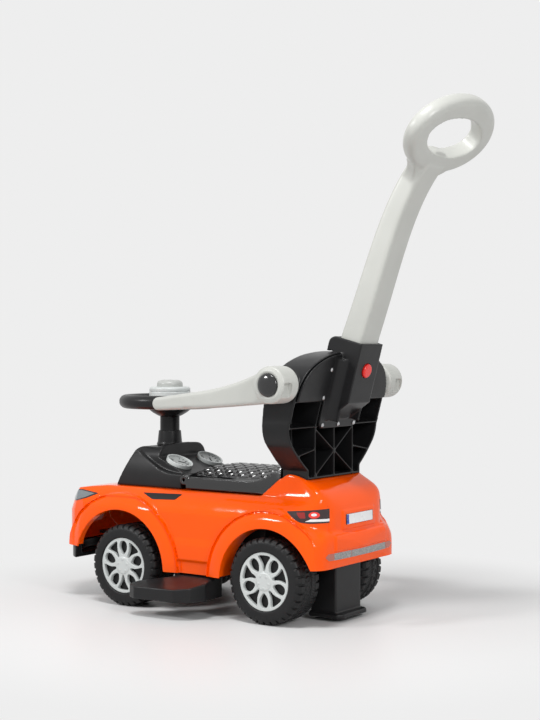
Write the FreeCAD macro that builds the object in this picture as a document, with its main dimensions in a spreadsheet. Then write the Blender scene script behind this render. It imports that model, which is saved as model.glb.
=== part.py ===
import FreeCAD, Part
import math
import os
import Sketcher
from FreeCAD import Placement, Rotation, Vector

# Push car with a parent handle, in millimetres. The rear of the car and the handle are at +X,
# the front is at -X, the left side is at -Y and the ground is Z = 0. Every size along X is
# measured from the rear axle, and rear_axle_x puts the whole car over the origin.

os.makedirs("parts", exist_ok=True)
doc = FreeCAD.newDocument("push_car")
sheet = doc.addObject("Spreadsheet::Sheet", "Sizes")

SIZES = [
    # running gear
    ("rear_axle_x", 80.25),
    ("wheelbase", 317.0),
    ("wheel_radius", 75.0),
    ("wheel_width", 68.0),
    ("wheel_outer", 140.0),
    ("rim_band", 20.0),
    ("wheel_recess", 10.0),
    ("shoulder", 6.0),
    ("lug_count", 32.0),
    ("lug_depth", 3.6),
    ("lug_length", 18.0),
    ("lug_width", 7.0),
    ("cover_radius", 51.0),
    ("cover_depth", 8.0),
    ("cover_recess", 10.0),
    ("cover_rim", 6.5),
    ("window_bulge", 3.0),
    ("petal_root", 22.0),
    ("petal_root_half", 5.2),
    ("petal_tip_half", 8.6),
    ("gap_root", 20.5),
    ("gap_root_half", 2.6),
    ("gap_tip_half", 10.2),
    ("boss_radius", 15.0),
    ("boss_rise", 1.2),
    ("bolt_ring", 11.0),
    ("bolt_radius", 2.3),
    ("bolt_rise", 0.6),
    ("spoke_pairs", 5.0),
    ("hub_radius", 13.0),
    ("hub_inset", 3.0),
    ("axle_radius", 4.0),
    ("running_gap", 0.06),
    ("face_gap", 0.3),
    ("nut_radius", 8.0),
    ("nut_depth", 3.5),
    ("axle_block", 60.0),
    ("spacer_radius", 8.0),
    # body
    ("body_half", 128.0),
    ("body_wall", 3.2),
    ("body_top", 217.0),
    ("sill_height", 72.0),
    ("bumper_height", 101.0),
    ("deck_height", 249.0),
    ("front_arch", 108.0),
    ("front_arch_shift", 13.0),
    ("rear_arch", 97.0),
    ("arch_height", 70.0),
    ("flare_width", 29.0),
    ("flare_rise", 10.0),
    ("inlay_depth", 2.0),
    # chassis
    ("plate_base", 114.0),
    ("plate_depth", 6.0),
    ("beam_half", 42.0),
    ("rear_beam_half", 60.0),
    # console, seat and tub
    ("console_front", 376.0),
    ("console_rear", 221.0),
    ("console_half", 90.0),
    ("console_wall", 3.0),
    ("console_edge", 243.5),
    ("console_top", 290.0),
    ("pod_half", 72.0),
    ("hood_x", 289.0),
    ("hood_rise", 6.0),
    ("panel_rise", 28.0),
    ("gauge_x", 257.5),
    ("gauge_spread", 46.5),
    ("gauge_radius", 25.5),
    ("gauge_rim", 3.2),
    ("gauge_height", 8.0),
    ("hinge_x", 211.0),
    ("hinge_height", 235.0),
    ("bead_radius", 9.0),
    ("pin_radius", 3.0),
    ("pin_half", 80.0),
    ("lug_inner", 58.0),
    ("lug_outer", 66.0),
    ("lug_gap", 0.6),
    ("seat_half", 93.0),
    ("seat_wall", 3.0),
    ("seat_side", 23.5),
    ("seat_crown", 21.0),
    ("seam", 2.5),
    # steering
    ("shaft_radius", 8.0),
    ("tube_radius", 18.7),
    ("tube_top", 345.0),
    ("sleeve_radius", 23.5),
    ("rim_radius", 84.0),
    ("rim_section", 13.0),
    ("rim_height", 374.0),
    ("spoke_base", 366.0),
    ("spoke_depth", 16.0),
    ("hub_plate", 40.0),
    ("hub_top", 393.0),
    ("horn_radius", 24.8),
    ("horn_base", 396.5),
    ("horn_top", 415.0),
    ("ring_top", 402.0),
    ("button_radius", 6.0),
    ("button_reach", 57.0),
    # back, bracket and handle
    ("back_front", 5.0),
    ("back_rear", 57.0),
    ("back_half", 148.0),
    ("back_wall", 4.0),
    ("boss_reach", 30.0),
    ("arm_boss", 21.0),
    ("bracket_plate", 5.0),
    ("bracket_step", 3.0),
    ("wing_drop", 30.0),
    ("tongue_half", 62.0),
    ("tongue_drop", 79.0),
    ("screw_head", 4.0),
    ("screw_shank", 1.9),
    ("screw_length", 16.0),
    ("screw_post", 5.0),
    ("socket_half", 36.5),
    ("socket_lean", 15.0),
    ("socket_x", 108.6),
    ("socket_rise", 75.0),
    ("socket_depth", 100.0),
    ("socket_wall", 4.5),
    ("tang_half", 31.0),
    ("tang_depth", 45.0),
    ("slide_gap", 0.3),
    ("release_radius", 12.5),
    ("release_drop", 48.0),
    ("release_proud", 4.0),
    ("loop_x", 284.0),
    ("loop_height", 836.0),
    ("loop_half", 103.0),
    ("loop_rise", 57.0),
    ("loop_lean", 42.0),
    ("loop_band", 18.5),
    ("loop_thick", 15.0),
    ("loop_round", 12.5),
    ("stem_round", 6.5),
    ("neck_half", 28.0),
    ("neck_thick", 18.5),
    # guard arms
    ("arm_x", 52.0),
    ("arm_height", 415.0),
    ("arm_hub", 31.7),
    ("arm_inner", 152.0),
    ("arm_outer", 200.0),
    ("arm_blade", 26.0),
    ("arm_toe", 4.5),
    ("pivot_radius", 14.0),
    ("cap_radius", 19.5),
    # footrests and rear stop
    ("step_outer", 200.0),
    ("step_base", 32.0),
    ("step_top", 68.0),
    ("step_edge", 53.5),
    ("stop_base", 6.0),
    ("stop_foot", 8.0),
]

for row, (alias, value) in enumerate(SIZES, 1):
    sheet.set("A%d" % row, alias)
    sheet.set("B%d" % row, str(value))
    sheet.setAlias("B%d" % row, alias)
doc.recompute()


def size(expression):
    """The number that a cell, or an expression of cells, stands for."""
    return float(sheet.evalExpression(cells(expression)))


def cells(expression):
    """Writes plain cell names as full references to the sheet."""
    words = str(expression)
    for name in sorted((alias for alias, value in SIZES), key=len, reverse=True):
        words = words.replace("@" + name, "Sizes." + name)
    return words


def place(piece, x="0", y="0", z="0", turn=None):
    """Puts a piece at a point held by expressions, after a turn about its own origin."""
    if turn is not None:
        piece.Placement = Placement(Vector(0, 0, 0), turn)
    for axis, expression in zip("xyz", (x, y, z)):
        piece.setExpression("Placement.Base." + axis, cells(expression))


REAR = "@rear_axle_x"
FRONT = "@rear_axle_x - @wheelbase"
ALONG_Y = Rotation(Vector(1, 0, 0), -90)
ROUND = Rotation(Vector(0, 0, 1), 180)


def body_of(name):
    body = doc.addObject("PartDesign::Body", name)
    body.Label = name
    return body


def origin_of(body, role):
    return [item for item in body.Origin.OriginFeatures if item.Role == role][0]


def sketch_on(body, name, role, offset=None):
    """A sketch on one of the body's own planes, moved along the plane's normal."""
    sketch = body.newObject("Sketcher::SketchObject", name)
    sketch.AttachmentSupport = [(origin_of(body, role), "")]
    sketch.MapMode = "FlatFace"
    if offset is not None:
        sketch.setExpression("AttachmentOffset.Base.z", cells(offset))
    return sketch


def hold(sketch, kind, item, end, expression):
    """Holds one end of a line, or a centre, at a distance from the sketch's origin."""
    value = size(expression)
    index = sketch.addConstraint(Sketcher.Constraint(kind, -1, 1, item, end, value))
    sketch.setExpression("Constraints[%d]" % index, cells(expression))


def polygon(sketch, corners):
    """A closed outline of straight lines whose corners are held by expressions."""
    points = [Vector(size(u), size(v), 0) for u, v in corners]
    count = len(points)
    first = sketch.GeometryCount
    for step in range(count):
        sketch.addGeometry(Part.LineSegment(points[step], points[(step + 1) % count]))
    for step in range(count):
        after = first + (step + 1) % count
        sketch.addConstraint(Sketcher.Constraint("Coincident", first + step, 2, after, 1))
    for step, (u, v) in enumerate(corners):
        hold(sketch, "DistanceX", first + step, 1, u)
        hold(sketch, "DistanceY", first + step, 1, v)


def circle(sketch, u, v, radius):
    """A circle whose centre and radius are held by expressions."""
    centre = Vector(size(u), size(v), 0)
    item = sketch.addGeometry(Part.Circle(centre, Vector(0, 0, 1), size(radius)))
    hold(sketch, "DistanceX", item, 3, u)
    hold(sketch, "DistanceY", item, 3, v)
    index = sketch.addConstraint(Sketcher.Constraint("Radius", item, size(radius)))
    sketch.setExpression("Constraints[%d]" % index, cells(radius))


def pad(body, name, sketch, length, middle=False, back=False):
    feature = body.newObject("PartDesign::Pad", name)
    feature.Profile = sketch
    feature.setExpression("Length", cells(length))
    if middle:
        feature.SideType = "Symmetric"
    feature.Reversed = back
    return feature


def pocket(body, name, sketch, length, back=False):
    feature = body.newObject("PartDesign::Pocket", name)
    feature.Profile = sketch
    feature.setExpression("Length", cells(length))
    feature.Reversed = back
    return feature


def around(body, name, features, role, count):
    pattern = body.newObject("PartDesign::PolarPattern", name)
    pattern.Originals = features
    pattern.Axis = (origin_of(body, role), [""])
    pattern.Angle = 360
    pattern.setExpression("Occurrences", cells(count))
    body.Tip = pattern
    return pattern


def turned(name, corners, x, y, z, turn=None):
    """A round piece: its half section, as radius and height, turned about its own Z axis."""
    body = body_of(name)
    sketch = sketch_on(body, name + "_section", "XZ_Plane")
    polygon(sketch, corners)
    spin = body.newObject("PartDesign::Revolution", name + "_turned")
    spin.Profile = sketch
    spin.ReferenceAxis = (sketch, ["V_Axis"])
    spin.Angle = 360
    place(body, x, y, z, turn)
    return body


def block(name, xs, ys, zs):
    """A box between two expressions along each axis."""
    box = doc.addObject("Part::Box", name)
    for side, (low, high) in zip(("Length", "Width", "Height"), (xs, ys, zs)):
        box.setExpression(side, cells("(%s) - (%s)" % (high, low)))
    place(box, xs[0], ys[0], zs[0])
    return box


def rod(name, radius, length, x, y, z, turn=None):
    """A plain cylinder from a point along Z, or along the turned Z."""
    piece = doc.addObject("Part::Cylinder", name)
    piece.setExpression("Radius", cells(radius))
    piece.setExpression("Height", cells(length))
    place(piece, x, y, z, turn)
    return piece


def less(name, base, *tools):
    """A piece with other pieces taken out of it."""
    for step, tool in enumerate(tools):
        last = step == len(tools) - 1
        cut = doc.addObject("Part::Cut", name if last else "%s_cut_%d" % (name, step))
        cut.Base = base
        cut.Tool = tool
        base = cut
    return base


def joined(name, pieces):
    """Several pieces made into one solid."""
    whole = doc.addObject("Part::MultiFuse", name)
    whole.Shapes = pieces
    return whole


def grouped(name, pieces):
    """Several separate solids kept as one sub-part."""
    group = doc.addObject("Part::Compound", name)
    group.Links = pieces
    return group


def formed(name, shape):
    """A moulded piece whose shape is built below, placed over the rear axle."""
    piece = doc.addObject("Part::Feature", name)
    piece.Shape = shape
    place(piece, REAR)
    return piece


def face_of(plane, start, *steps):
    """A flat face: a step of one point is a line, a step of two points is an arc."""
    lift = {
        "xz": lambda p: Vector(p[0], 0, p[1]),
        "xy": lambda p: Vector(p[0], p[1], 0),
        "yz": lambda p: Vector(0, p[0], p[1]),
    }[plane]
    edges = []
    here = lift(start)
    for step in steps + (start,):
        if isinstance(step[0], tuple):
            middle, end = lift(step[0]), lift(step[1])
            edges.append(Part.Arc(here, middle, end).toShape())
        else:
            end = lift(step)
            if (end - here).Length > 1e-6:
                edges.append(Part.LineSegment(here, end).toShape())
        here = end
    return Part.Face(Part.Wire(edges))


def mirrored(half):
    """Completes a half outline, given for +Y, with its mirror image across Y = 0."""
    start = half[0]
    steps = list(half[1:])
    points = [start] + [step[1] if isinstance(step[0], tuple) else step for step in steps]
    back = []
    for index in range(len(steps) - 1, -1, -1):
        step = steps[index]
        end = points[index]
        if isinstance(step[0], tuple):
            back.append((step[0], end))
        else:
            back.append(end)
    return start, steps, back


def mirrored_yz(half):
    """A face across the car from its right half, listed from the bottom centre to the top."""
    start, steps, back = mirrored(half)
    flip = lambda p: (-p[0], p[1])
    left = [tuple(map(flip, s)) if isinstance(s[0], tuple) else flip(s) for s in back]
    top = points_end(half)
    return face_of("yz", start, *(steps + [flip(top)] + left))


def mirrored_xy(half):
    """A plan face from its right half, listed from the front centre to the rear."""
    start, steps, back = mirrored(half)
    flip = lambda p: (p[0], -p[1])
    left = [tuple(map(flip, s)) if isinstance(s[0], tuple) else flip(s) for s in back]
    end = points_end(half)
    return face_of("xy", start, *(steps + [flip(end)] + left))


def points_end(half):
    last = half[-1]
    return last[1] if isinstance(last[0], tuple) else last


def inset(face, amount):
    """The face with its edge moved in, or out for a negative amount."""
    if abs(amount) < 1e-9:
        return face
    return face.makeOffset2D(-amount)


def along(face, direction, low, high):
    """A face pushed from one distance to another along an axis."""
    axis = Vector(*direction)
    moved = face.copy()
    moved.translate(axis * low)
    return moved.extrude(axis * (high - low))


def turned_point(x, z, lean, u, v):
    """A point u across and v along an axis that leans back from the vertical."""
    angle = math.radians(lean)
    return (x + u * math.cos(angle) + v * math.sin(angle),
            z - u * math.sin(angle) + v * math.cos(angle))


# Wheels

WHEELS = [
    ("front_left", FRONT, "-1", None),
    ("front_right", FRONT, "1", ROUND),
    ("rear_left", REAR, "-1", None),
    ("rear_right", REAR, "1", ROUND),
]
MID_WHEEL = "(@wheel_outer - @wheel_width / 2)"
FLOOR = "(@cover_recess - @wheel_width / 2)"


def tyre(name, x, side, turn):
    body = body_of(name)
    section = sketch_on(body, name + "_section", "XY_Plane")
    half = "@wheel_width / 2"
    bore = "@axle_radius + @running_gap"
    polygon(section, [
        (bore, FLOOR),
        ("@cover_radius + @face_gap", FLOOR),
        ("@cover_radius + @face_gap", "-" + half),
        ("@wheel_radius - @shoulder", "-" + half),
        ("@wheel_radius", "@shoulder - " + half),
        ("@wheel_radius", half + " - @shoulder"),
        ("@wheel_radius - @shoulder", half),
        ("@wheel_radius - @rim_band", half),
        ("@wheel_radius - @rim_band", half + " - @wheel_recess"),
        ("@hub_radius", half + " - @wheel_recess"),
        ("@hub_radius", half + " - @hub_inset"),
        (bore, half + " - @hub_inset"),
    ])
    spin = body.newObject("PartDesign::Revolution", name + "_turned")
    spin.Profile = section
    spin.ReferenceAxis = (section, ["V_Axis"])
    spin.Angle = 360
    notches = []
    for end, offset, back in (("outer", half, False), ("inner", "-" + half, True)):
        notch = sketch_on(body, name + "_notch_" + end, "XZ_Plane", offset)
        polygon(notch, [
            ("-@lug_width / 2", "@wheel_radius - @lug_depth"),
            ("@lug_width / 2", "@wheel_radius - @lug_depth"),
            ("@lug_width / 2", "@wheel_radius + 1"),
            ("-@lug_width / 2", "@wheel_radius + 1"),
        ])
        notches.append(pocket(body, name + "_gap_" + end, notch, "@lug_length", back))
    around(body, name + "_lugs", notches, "Y_Axis", "@lug_count")
    place(body, x, side + " * " + MID_WHEEL, "@wheel_radius", turn)
    return body


def window(sketch, turn, root, root_half, tip_half):
    """An opening along a radius: round at the hub end, two straight sides and a round outer end."""
    angle = math.radians(turn)
    tip = "@cover_radius - @cover_rim - @window_bulge"

    def spot(radius, across):
        return ("(%s) * %r + (%s) * %r" % (radius, math.sin(angle), across, math.cos(angle)),
                "(%s) * %r - (%s) * %r" % (radius, math.cos(angle), across, math.sin(angle)))

    def point(pair):
        return Vector(size(pair[0]), size(pair[1]), 0)

    corners = [spot(root, "-" + root_half), spot(root, root_half),
               spot(tip, tip_half), spot(tip, "-" + tip_half)]
    inner_left, inner_right, outer_right, outer_left = [point(corner) for corner in corners]
    sketch.addGeometry(Part.LineSegment(inner_right, outer_right))
    sketch.addGeometry(Part.Arc(outer_right, point(spot(tip + " + @window_bulge", "0")), outer_left))
    sketch.addGeometry(Part.LineSegment(outer_left, inner_left))
    sketch.addGeometry(Part.Arc(inner_left, point(spot(root + " - @window_bulge", "0")), inner_right))
    for line, ends in ((0, corners[1:3]), (2, (corners[3], corners[0]))):
        for end, (u, v) in enumerate(ends, 1):
            hold(sketch, "DistanceX", line, end, u)
            hold(sketch, "DistanceY", line, end, v)


def cover(name, x, side, turn):
    body = body_of(name)
    back = "@wheel_width / 2 - @cover_recess"
    disc = sketch_on(body, name + "_disc", "XZ_Plane", back)
    circle(disc, "0", "0", "@cover_radius")
    pad(body, name + "_plate", disc, "@cover_depth")
    hub = sketch_on(body, name + "_hub", "XZ_Plane", back + " + @cover_depth")
    circle(hub, "0", "0", "@boss_radius")
    pad(body, name + "_boss", hub, "@boss_rise")
    bolt = sketch_on(body, name + "_bolt", "XZ_Plane", back + " + @cover_depth + @boss_rise")
    circle(bolt, "0", "@bolt_ring", "@bolt_radius")
    bolts = pad(body, name + "_bolts", bolt, "@bolt_rise")
    around(body, name + "_bolt_ring", [bolts], "Y_Axis", "@spoke_pairs")
    half_step = 180.0 / size("@spoke_pairs")
    for word, angle, root, root_half, tip_half in (
            ("petal", 0.0, "@petal_root", "@petal_root_half", "@petal_tip_half"),
            ("gap", half_step, "@gap_root", "@gap_root_half", "@gap_tip_half")):
        shape = sketch_on(body, "%s_%s" % (name, word), "XZ_Plane", back)
        window(shape, angle, root, root_half, tip_half)
        cut = pocket(body, "%s_%s_cut" % (name, word), shape, "@cover_depth + @boss_rise", True)
        around(body, "%s_%s_ring" % (name, word), [cut], "Y_Axis", "@spoke_pairs")
    well = sketch_on(body, name + "_well", "XZ_Plane", back)
    circle(well, "0", "0", "@nut_radius + 2")
    body.Tip = pocket(body, name + "_nut_well", well, "@nut_depth + 1.5", True)
    place(body, x, side + " * " + MID_WHEEL, "@wheel_radius", turn)
    return body


for end, x, side, turn in WHEELS:
    tyre("tyre_" + end, x, side, turn)
    cover("wheel_cover_" + end, x, side, turn)

WEB_FACE = "(@wheel_outer - @cover_recess)"
AXLE_HALF = "(" + WEB_FACE + " + @face_gap + @nut_depth)"
HUB_FACE = "(@wheel_outer - @wheel_width + @hub_inset)"


def ring(name, outer, inner, low, high, x, side):
    """A washer-like ring on the axle line of one side."""
    start = low if side > 0 else "-(%s)" % high
    body = rod(name + "_body", outer, "(%s) - (%s)" % (high, low), x, start, "@wheel_radius", ALONG_Y)
    bore = rod(name + "_bore", inner, "(%s) - (%s)" % (high, low), x, start, "@wheel_radius", ALONG_Y)
    return less(name, body, bore)


for end, x in (("front", FRONT), ("rear", REAR)):
    rod(end + "_axle", "@axle_radius", "2 * " + AXLE_HALF, x, "-" + AXLE_HALF, "@wheel_radius", ALONG_Y)
    nuts = []
    tubes = []
    for word, side in (("left", -1), ("right", 1)):
        nuts.append(ring("nut_%s_%s" % (end, word), "@nut_radius", "@axle_radius",
                         WEB_FACE + " + @face_gap", AXLE_HALF, x, side))
        tubes.append(ring("spacer_%s_%s" % (end, word), "@spacer_radius", "@axle_radius",
                          "@axle_block", HUB_FACE + " - @face_gap", x, side))
    grouped("push_nuts_" + end, nuts)
    grouped("axle_spacers_" + end, tubes)

# Chassis tray: a flat plate, a cross block for the rear axle and a bush for the steering shaft

tray = body_of("chassis_tray")
plan = sketch_on(tray, "tray_plan", "XY_Plane", "@plate_base")
WIDE = "@body_half - @body_wall - @face_gap"
half_plan = [
    ("-@wheelbase - 145", "@beam_half"),
    ("-195", "@beam_half"),
    ("-195", WIDE),
    ("-108", WIDE),
    ("-108", "@rear_beam_half"),
    ("88", "@rear_beam_half"),
]
polygon(plan, half_plan + [(u, "-(%s)" % v) for u, v in reversed(half_plan)])
pad(tray, "tray_plate", plan, "@plate_depth")
cross = sketch_on(tray, "tray_cross", "XZ_Plane")
polygon(cross, [
    ("-16", "@wheel_radius - 14"),
    ("16", "@wheel_radius - 14"),
    ("20", "@plate_base + 1"),
    ("-20", "@plate_base + 1"),
])
circle(cross, "0", "@wheel_radius", "@axle_radius")
pad(tray, "tray_block", cross, "2 * @axle_block", True)
bush = sketch_on(tray, "tray_bush", "XY_Plane", "@plate_base - 8")
circle(bush, "-@wheelbase", "0", "@shaft_radius + 9")
pad(tray, "tray_collar", bush, "34")
bore = sketch_on(tray, "tray_bore", "XY_Plane", "@plate_base - 9")
circle(bore, "-@wheelbase", "0", "@shaft_radius + @running_gap")
tray.Tip = pocket(tray, "tray_shaft_bore", bore, "40", True)
place(tray, REAR)

# Footrests: a step outside each sill that slopes down outwards, with a riser up to the tray


def footrest(name, side):
    body = body_of(name)
    flat = sketch_on(body, name + "_plan", "XY_Plane", "@step_base")
    outline = [
        ("-190", "@body_half - 30"),
        ("-118", "@body_half - 30"),
        ("-112", "@step_outer - 45"),
        ("-124", "@step_outer - 14"),
        ("-150", "@step_outer"),
        ("-236", "@step_outer + 3"),
        ("-254", "@step_outer - 6"),
        ("-250", "@step_outer - 24"),
        ("-200", "@body_half + 10"),
    ]
    polygon(flat, [(u, "%d * (%s)" % (side, v)) for u, v in outline])
    pad(body, name + "_plate", flat, "@step_top - @step_base")
    rise = sketch_on(body, name + "_rise", "XY_Plane", "@step_top - 4")
    corners = [
        ("-186", "@body_half - 28"),
        ("-122", "@body_half - 28"),
        ("-122", "@body_half - @body_wall - 4"),
        ("-186", "@body_half - @body_wall - 4"),
    ]
    polygon(rise, [(u, "%d * (%s)" % (side, v)) for u, v in corners])
    pad(body, name + "_riser", rise, "@plate_base - @step_top + 4")
    slope = sketch_on(body, name + "_slope", "YZ_Plane", "-100")
    corners = [
        ("@body_half + 2", "@step_top"),
        ("@step_outer + 5", "@step_edge"),
        ("@step_outer + 5", "@step_top + 20"),
        ("@body_half + 2", "@step_top + 20"),
    ]
    polygon(slope, [("%d * (%s)" % (side, u), v) for u, v in corners])
    body.Tip = pocket(body, name + "_slope_cut", slope, "200")
    place(body, REAR)
    return body


footrest("footrest_left", -1)
footrest("footrest_right", 1)

# Rear stop that keeps the car from tipping backwards

stop = body_of("anti_tip_stop")
foot = sketch_on(stop, "stop_foot_plan", "XY_Plane", "@stop_base")
polygon(foot, [
    ("34", "-48"), ("92", "-48"), ("100", "-38"), ("100", "38"),
    ("92", "48"), ("34", "48"), ("28", "38"), ("28", "-38"),
])
pad(stop, "stop_plate", foot, "@stop_foot")
post = sketch_on(stop, "stop_post_plan", "XY_Plane", "@stop_base + @stop_foot - 2")
polygon(post, [("34", "-42"), ("86", "-42"), ("86", "42"), ("34", "42")])
stop.Tip = pad(stop, "stop_post", post, "@plate_base - @stop_base - @stop_foot + 2")
place(stop, REAR)

# Body shell: the side, plan and cross sections of the car meet in one hollow form

W = size("@wheelbase")
TOP = size("@body_top")
DECK = size("@deck_height")
BUMPER = size("@bumper_height")
SILL = size("@sill_height")
HALF = size("@body_half")
WIDEST = size("@body_half + @flare_rise - 1")


def side_face(low):
    """The body from the side. A low bottom leaves the form open underneath."""
    upper = [
        ((-501, 140), (-491, 184)),
        ((-479, 203), (-455, 210)),
        (-385, TOP),
        (-32, TOP),
        (3, DECK),
        (58, DECK),
        (82, 234),
        ((99, 216), (106, 182)),
        (112, 122),
        (106, BUMPER),
    ]
    if low:
        return face_of("xz", (-490, BUMPER), *upper, (100, 40), (-480, 40))
    return face_of("xz", (-490, BUMPER), *upper, (80, BUMPER), (50, SILL),
                   (-W, SILL), (-W - 90, BUMPER))


def plan_face():
    return mirrored_xy([(-501, 0), ((-488, 78), (-452, 117)), (-425, HALF - 1), (-380, HALF),
                        (40, HALF), ((84, 110), (104, 72)), (110, 0)])


def section_face():
    return mirrored_yz([(0, 20), (HALF, 20), (HALF, 150), ((HALF - 6, 195), (103, TOP)),
                        (94, DECK), (90, 280), (0, 280)])


def hull(amount, low=False):
    """The whole outer form of the body, moved in by an amount."""
    form = along(inset(side_face(low), amount), (0, 1, 0), -180, 180)
    form = form.common(along(inset(plan_face(), amount), (0, 0, 1), 0, 320))
    return form.common(along(inset(section_face(), amount), (1, 0, 0), -560, 160))


def bumper_plan():
    return mirrored_xy([(30, 0), (30, WIDEST), (70, WIDEST), ((98, WIDEST - 7), (109, WIDEST - 25)),
                        (115, 0)])


def bumper(amount, low=False):
    """The band round the tail, flush with the flares, moved in by an amount."""
    bottom = 40 if low else BUMPER
    side = face_of("xz", (30, bottom), (109, bottom), (115, BUMPER + 21),
                   ((113, BUMPER + 42), (106, BUMPER + 60)), (30, BUMPER + 60))
    section = mirrored_yz([(0, 20), (WIDEST, 20), (WIDEST, BUMPER + 5), (106, BUMPER + 62), (0, BUMPER + 62)])
    form = along(inset(side, amount), (0, 1, 0), -180, 180)
    form = form.common(along(inset(section, amount), (1, 0, 0), -50, 160))
    return form.common(along(inset(bumper_plan(), amount), (0, 0, 1), 0, 320))


def across(x, z, radius, low, high):
    """A cylinder along Y."""
    return Part.makeCylinder(radius, high - low, Vector(x, low, z), Vector(0, 1, 0))


def box(low, high):
    return Part.makeBox(high[0] - low[0], high[1] - low[1], high[2] - low[2], Vector(*low))


wall = size("@body_wall")
outer = hull(0).fuse(bumper(0))
ARCHES = [
    (-W - size("@front_arch_shift"), size("@front_arch")),
    (0, size("@rear_arch")),
]
arch_z = size("@arch_height")
rise = size("@flare_rise")
wide_plan = along(inset(plan_face(), -rise), (0, 0, 1), SILL, 320)
wide_plan = wide_plan.fuse(along(bumper_plan(), (0, 0, 1), SILL, 320))
wide_section = along(inset(section_face(), -rise), (1, 0, 0), -560, 160)
shell = outer
for x, radius in ARCHES:
    for low, high in ((HALF - 40, HALF + 30), (-HALF - 30, -HALF + 40)):
        flare = across(x, arch_z, radius + size("@flare_width"), low, high)
        flare = flare.common(wide_plan).common(wide_section)
        flare = flare.common(box((-600, -200, BUMPER if x < -W else SILL), (107, 200, 300)))
        shell = shell.fuse(flare)
shell = shell.cut(hull(wall, True)).cut(bumper(wall, True))
for x, radius in ARCHES:
    shell = shell.cut(across(x, arch_z, radius, -250, 250))
PILLAR = [(-6, 238), (20, 262), (40, 260), (60, DECK), (60, 238)]
pillars = along(face_of("xz", *PILLAR), (0, 1, 0), -180, 180)
pillars = pillars.common(along(section_face(), (1, 0, 0), -560, 160))
pillars = pillars.cut(box((-60, -88, 200), (100, 88, 300)))
shell = shell.fuse(pillars).removeSplitter()
shell = shell.cut(Part.makeCylinder(size("@tube_radius") + 6, 60, Vector(-W, 0, TOP - 30)))
TUB = (-188, -42)
TUB_HALF = 72
shell = shell.cut(box((TUB[0] - 1, -TUB_HALF - 1, TOP - 30), (TUB[1] + 1, TUB_HALF + 1, TOP + 5)))

# Flush trim let into the body: lights, a bare plate, a reflector strip and side vents

inlay_depth = size("@inlay_depth")
skin = outer.cut(hull(inlay_depth)).cut(bumper(inlay_depth))


def inlay(plane, outline, low, high, both):
    direction = {"xz": (0, 1, 0), "yz": (1, 0, 0)}[plane]
    piece = along(face_of(plane, *outline), direction, low, high).common(skin)
    if not both:
        return piece
    twin = piece.Solids[0].mirror(Vector(0, 0, 0), Vector(0, 1, 0))
    return Part.makeCompound([piece.Solids[0], twin])


TRIM = [
    ("headlights", "xz", [(-496, 188), (-470, 203), (-440, 207), (-394, 202), (-420, 192), (-455, 184)],
     78, 180, True),
    ("taillights", "xz", [(36, 197), (118, 204), (118, 179), (80, 178), (64, 180)], 88, 180, True),
    ("side_vents", "xz", [(-290, 209), (-199, 211), (-210, 201), (-262, 199)], 90, 180, True),
    ("front_grille", "yz", [(-64, 128), (64, 128), (58, 164), (-58, 164)], -560, -440, False),
    ("number_plate", "yz", [(-43, 172), (43, 172), (43, 189), (-43, 189)], 70, 160, False),
    ("reflector_strip", "yz", [(-112, 115), (112, 115), (112, 127), (-112, 127)],
     70, 160, False),
]
for name, plane, outline, low, high, both in TRIM:
    piece = inlay(plane, outline, low, high, both)
    shell = shell.cut(piece)
    formed(name, piece)

# Front skirt: a dark lip under the nose

lip = mirrored_xy([(-493, 0), ((-480, 76), (-446, 112)), (-438, 116), (-434, 0)])
lip = along(lip, (0, 0, 1), SILL + 4, BUMPER)
hollow = mirrored_xy([(-478, 0), ((-466, 70), (-438, 100)), (-430, 100), (-430, 0)])
lip = lip.cut(along(hollow, (0, 0, 1), SILL + 12, BUMPER + 5))
lip = lip.cut(box((-600, -30, SILL - 5), (-485, 30, SILL + 14)))
lip = lip.cut(across(ARCHES[0][0], arch_z, ARCHES[0][1] + 2, -250, 250))
formed("front_skirt", lip)

# Storage tub under the seat

tub = box((TUB[0], -TUB_HALF, 128), (TUB[1], TUB_HALF, TOP))
tub = tub.fuse(box((TUB[0] - 8, -TUB_HALF - 8, TOP), (TUB[1] + 7, TUB_HALF + 8, TOP + 2)))
tub = tub.cut(box((TUB[0] + 2.5, -TUB_HALF + 2.5, 130.5), (TUB[1] - 2.5, TUB_HALF - 2.5, TOP + 5)))
formed("storage_tub", tub.removeSplitter())

# Console: a low saddle, a higher pod with the gauge hood, and two ears for the seat's hinge pin

CFRONT = -size("@console_front")
CREAR = -size("@console_rear")
CTOP = size("@console_top")
CHALF = size("@console_half")
EDGE = size("@console_edge")
POD = size("@pod_half")
HOOD_X = -size("@hood_x")
HOOD_Z = CTOP + size("@hood_rise")
PANEL_FRONT = HOOD_X + 4
PANEL_TOP = EDGE + size("@panel_rise")
HX = -size("@hinge_x")
HZ = size("@hinge_height")


def saddle_form(amount, bottom):
    """The lower part, whose side edge slopes down to the seam with the seat."""
    side = face_of("xz", (CFRONT, bottom), (CFRONT, TOP), (CFRONT + 29, CTOP - 13),
                   ((CFRONT + 37, CTOP - 8), (CFRONT + 48, CTOP - 11)), (CFRONT + 98, EDGE + 9),
                   ((CREAR - 32, EDGE + 2), (CREAR, EDGE)), (CREAR, bottom))
    front = mirrored_yz([(0, 180), (CHALF, 180), (CHALF - 2, TOP), ((CHALF - 6, 250), (CHALF - 16, 276)),
                         (CHALF - 22, 300), (0, 300)])
    form = along(inset(side, amount), (0, 1, 0), -CHALF - 20, CHALF + 20)
    return form.common(along(inset(front, amount), (1, 0, 0), CFRONT - 20, CREAR + 20))


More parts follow.
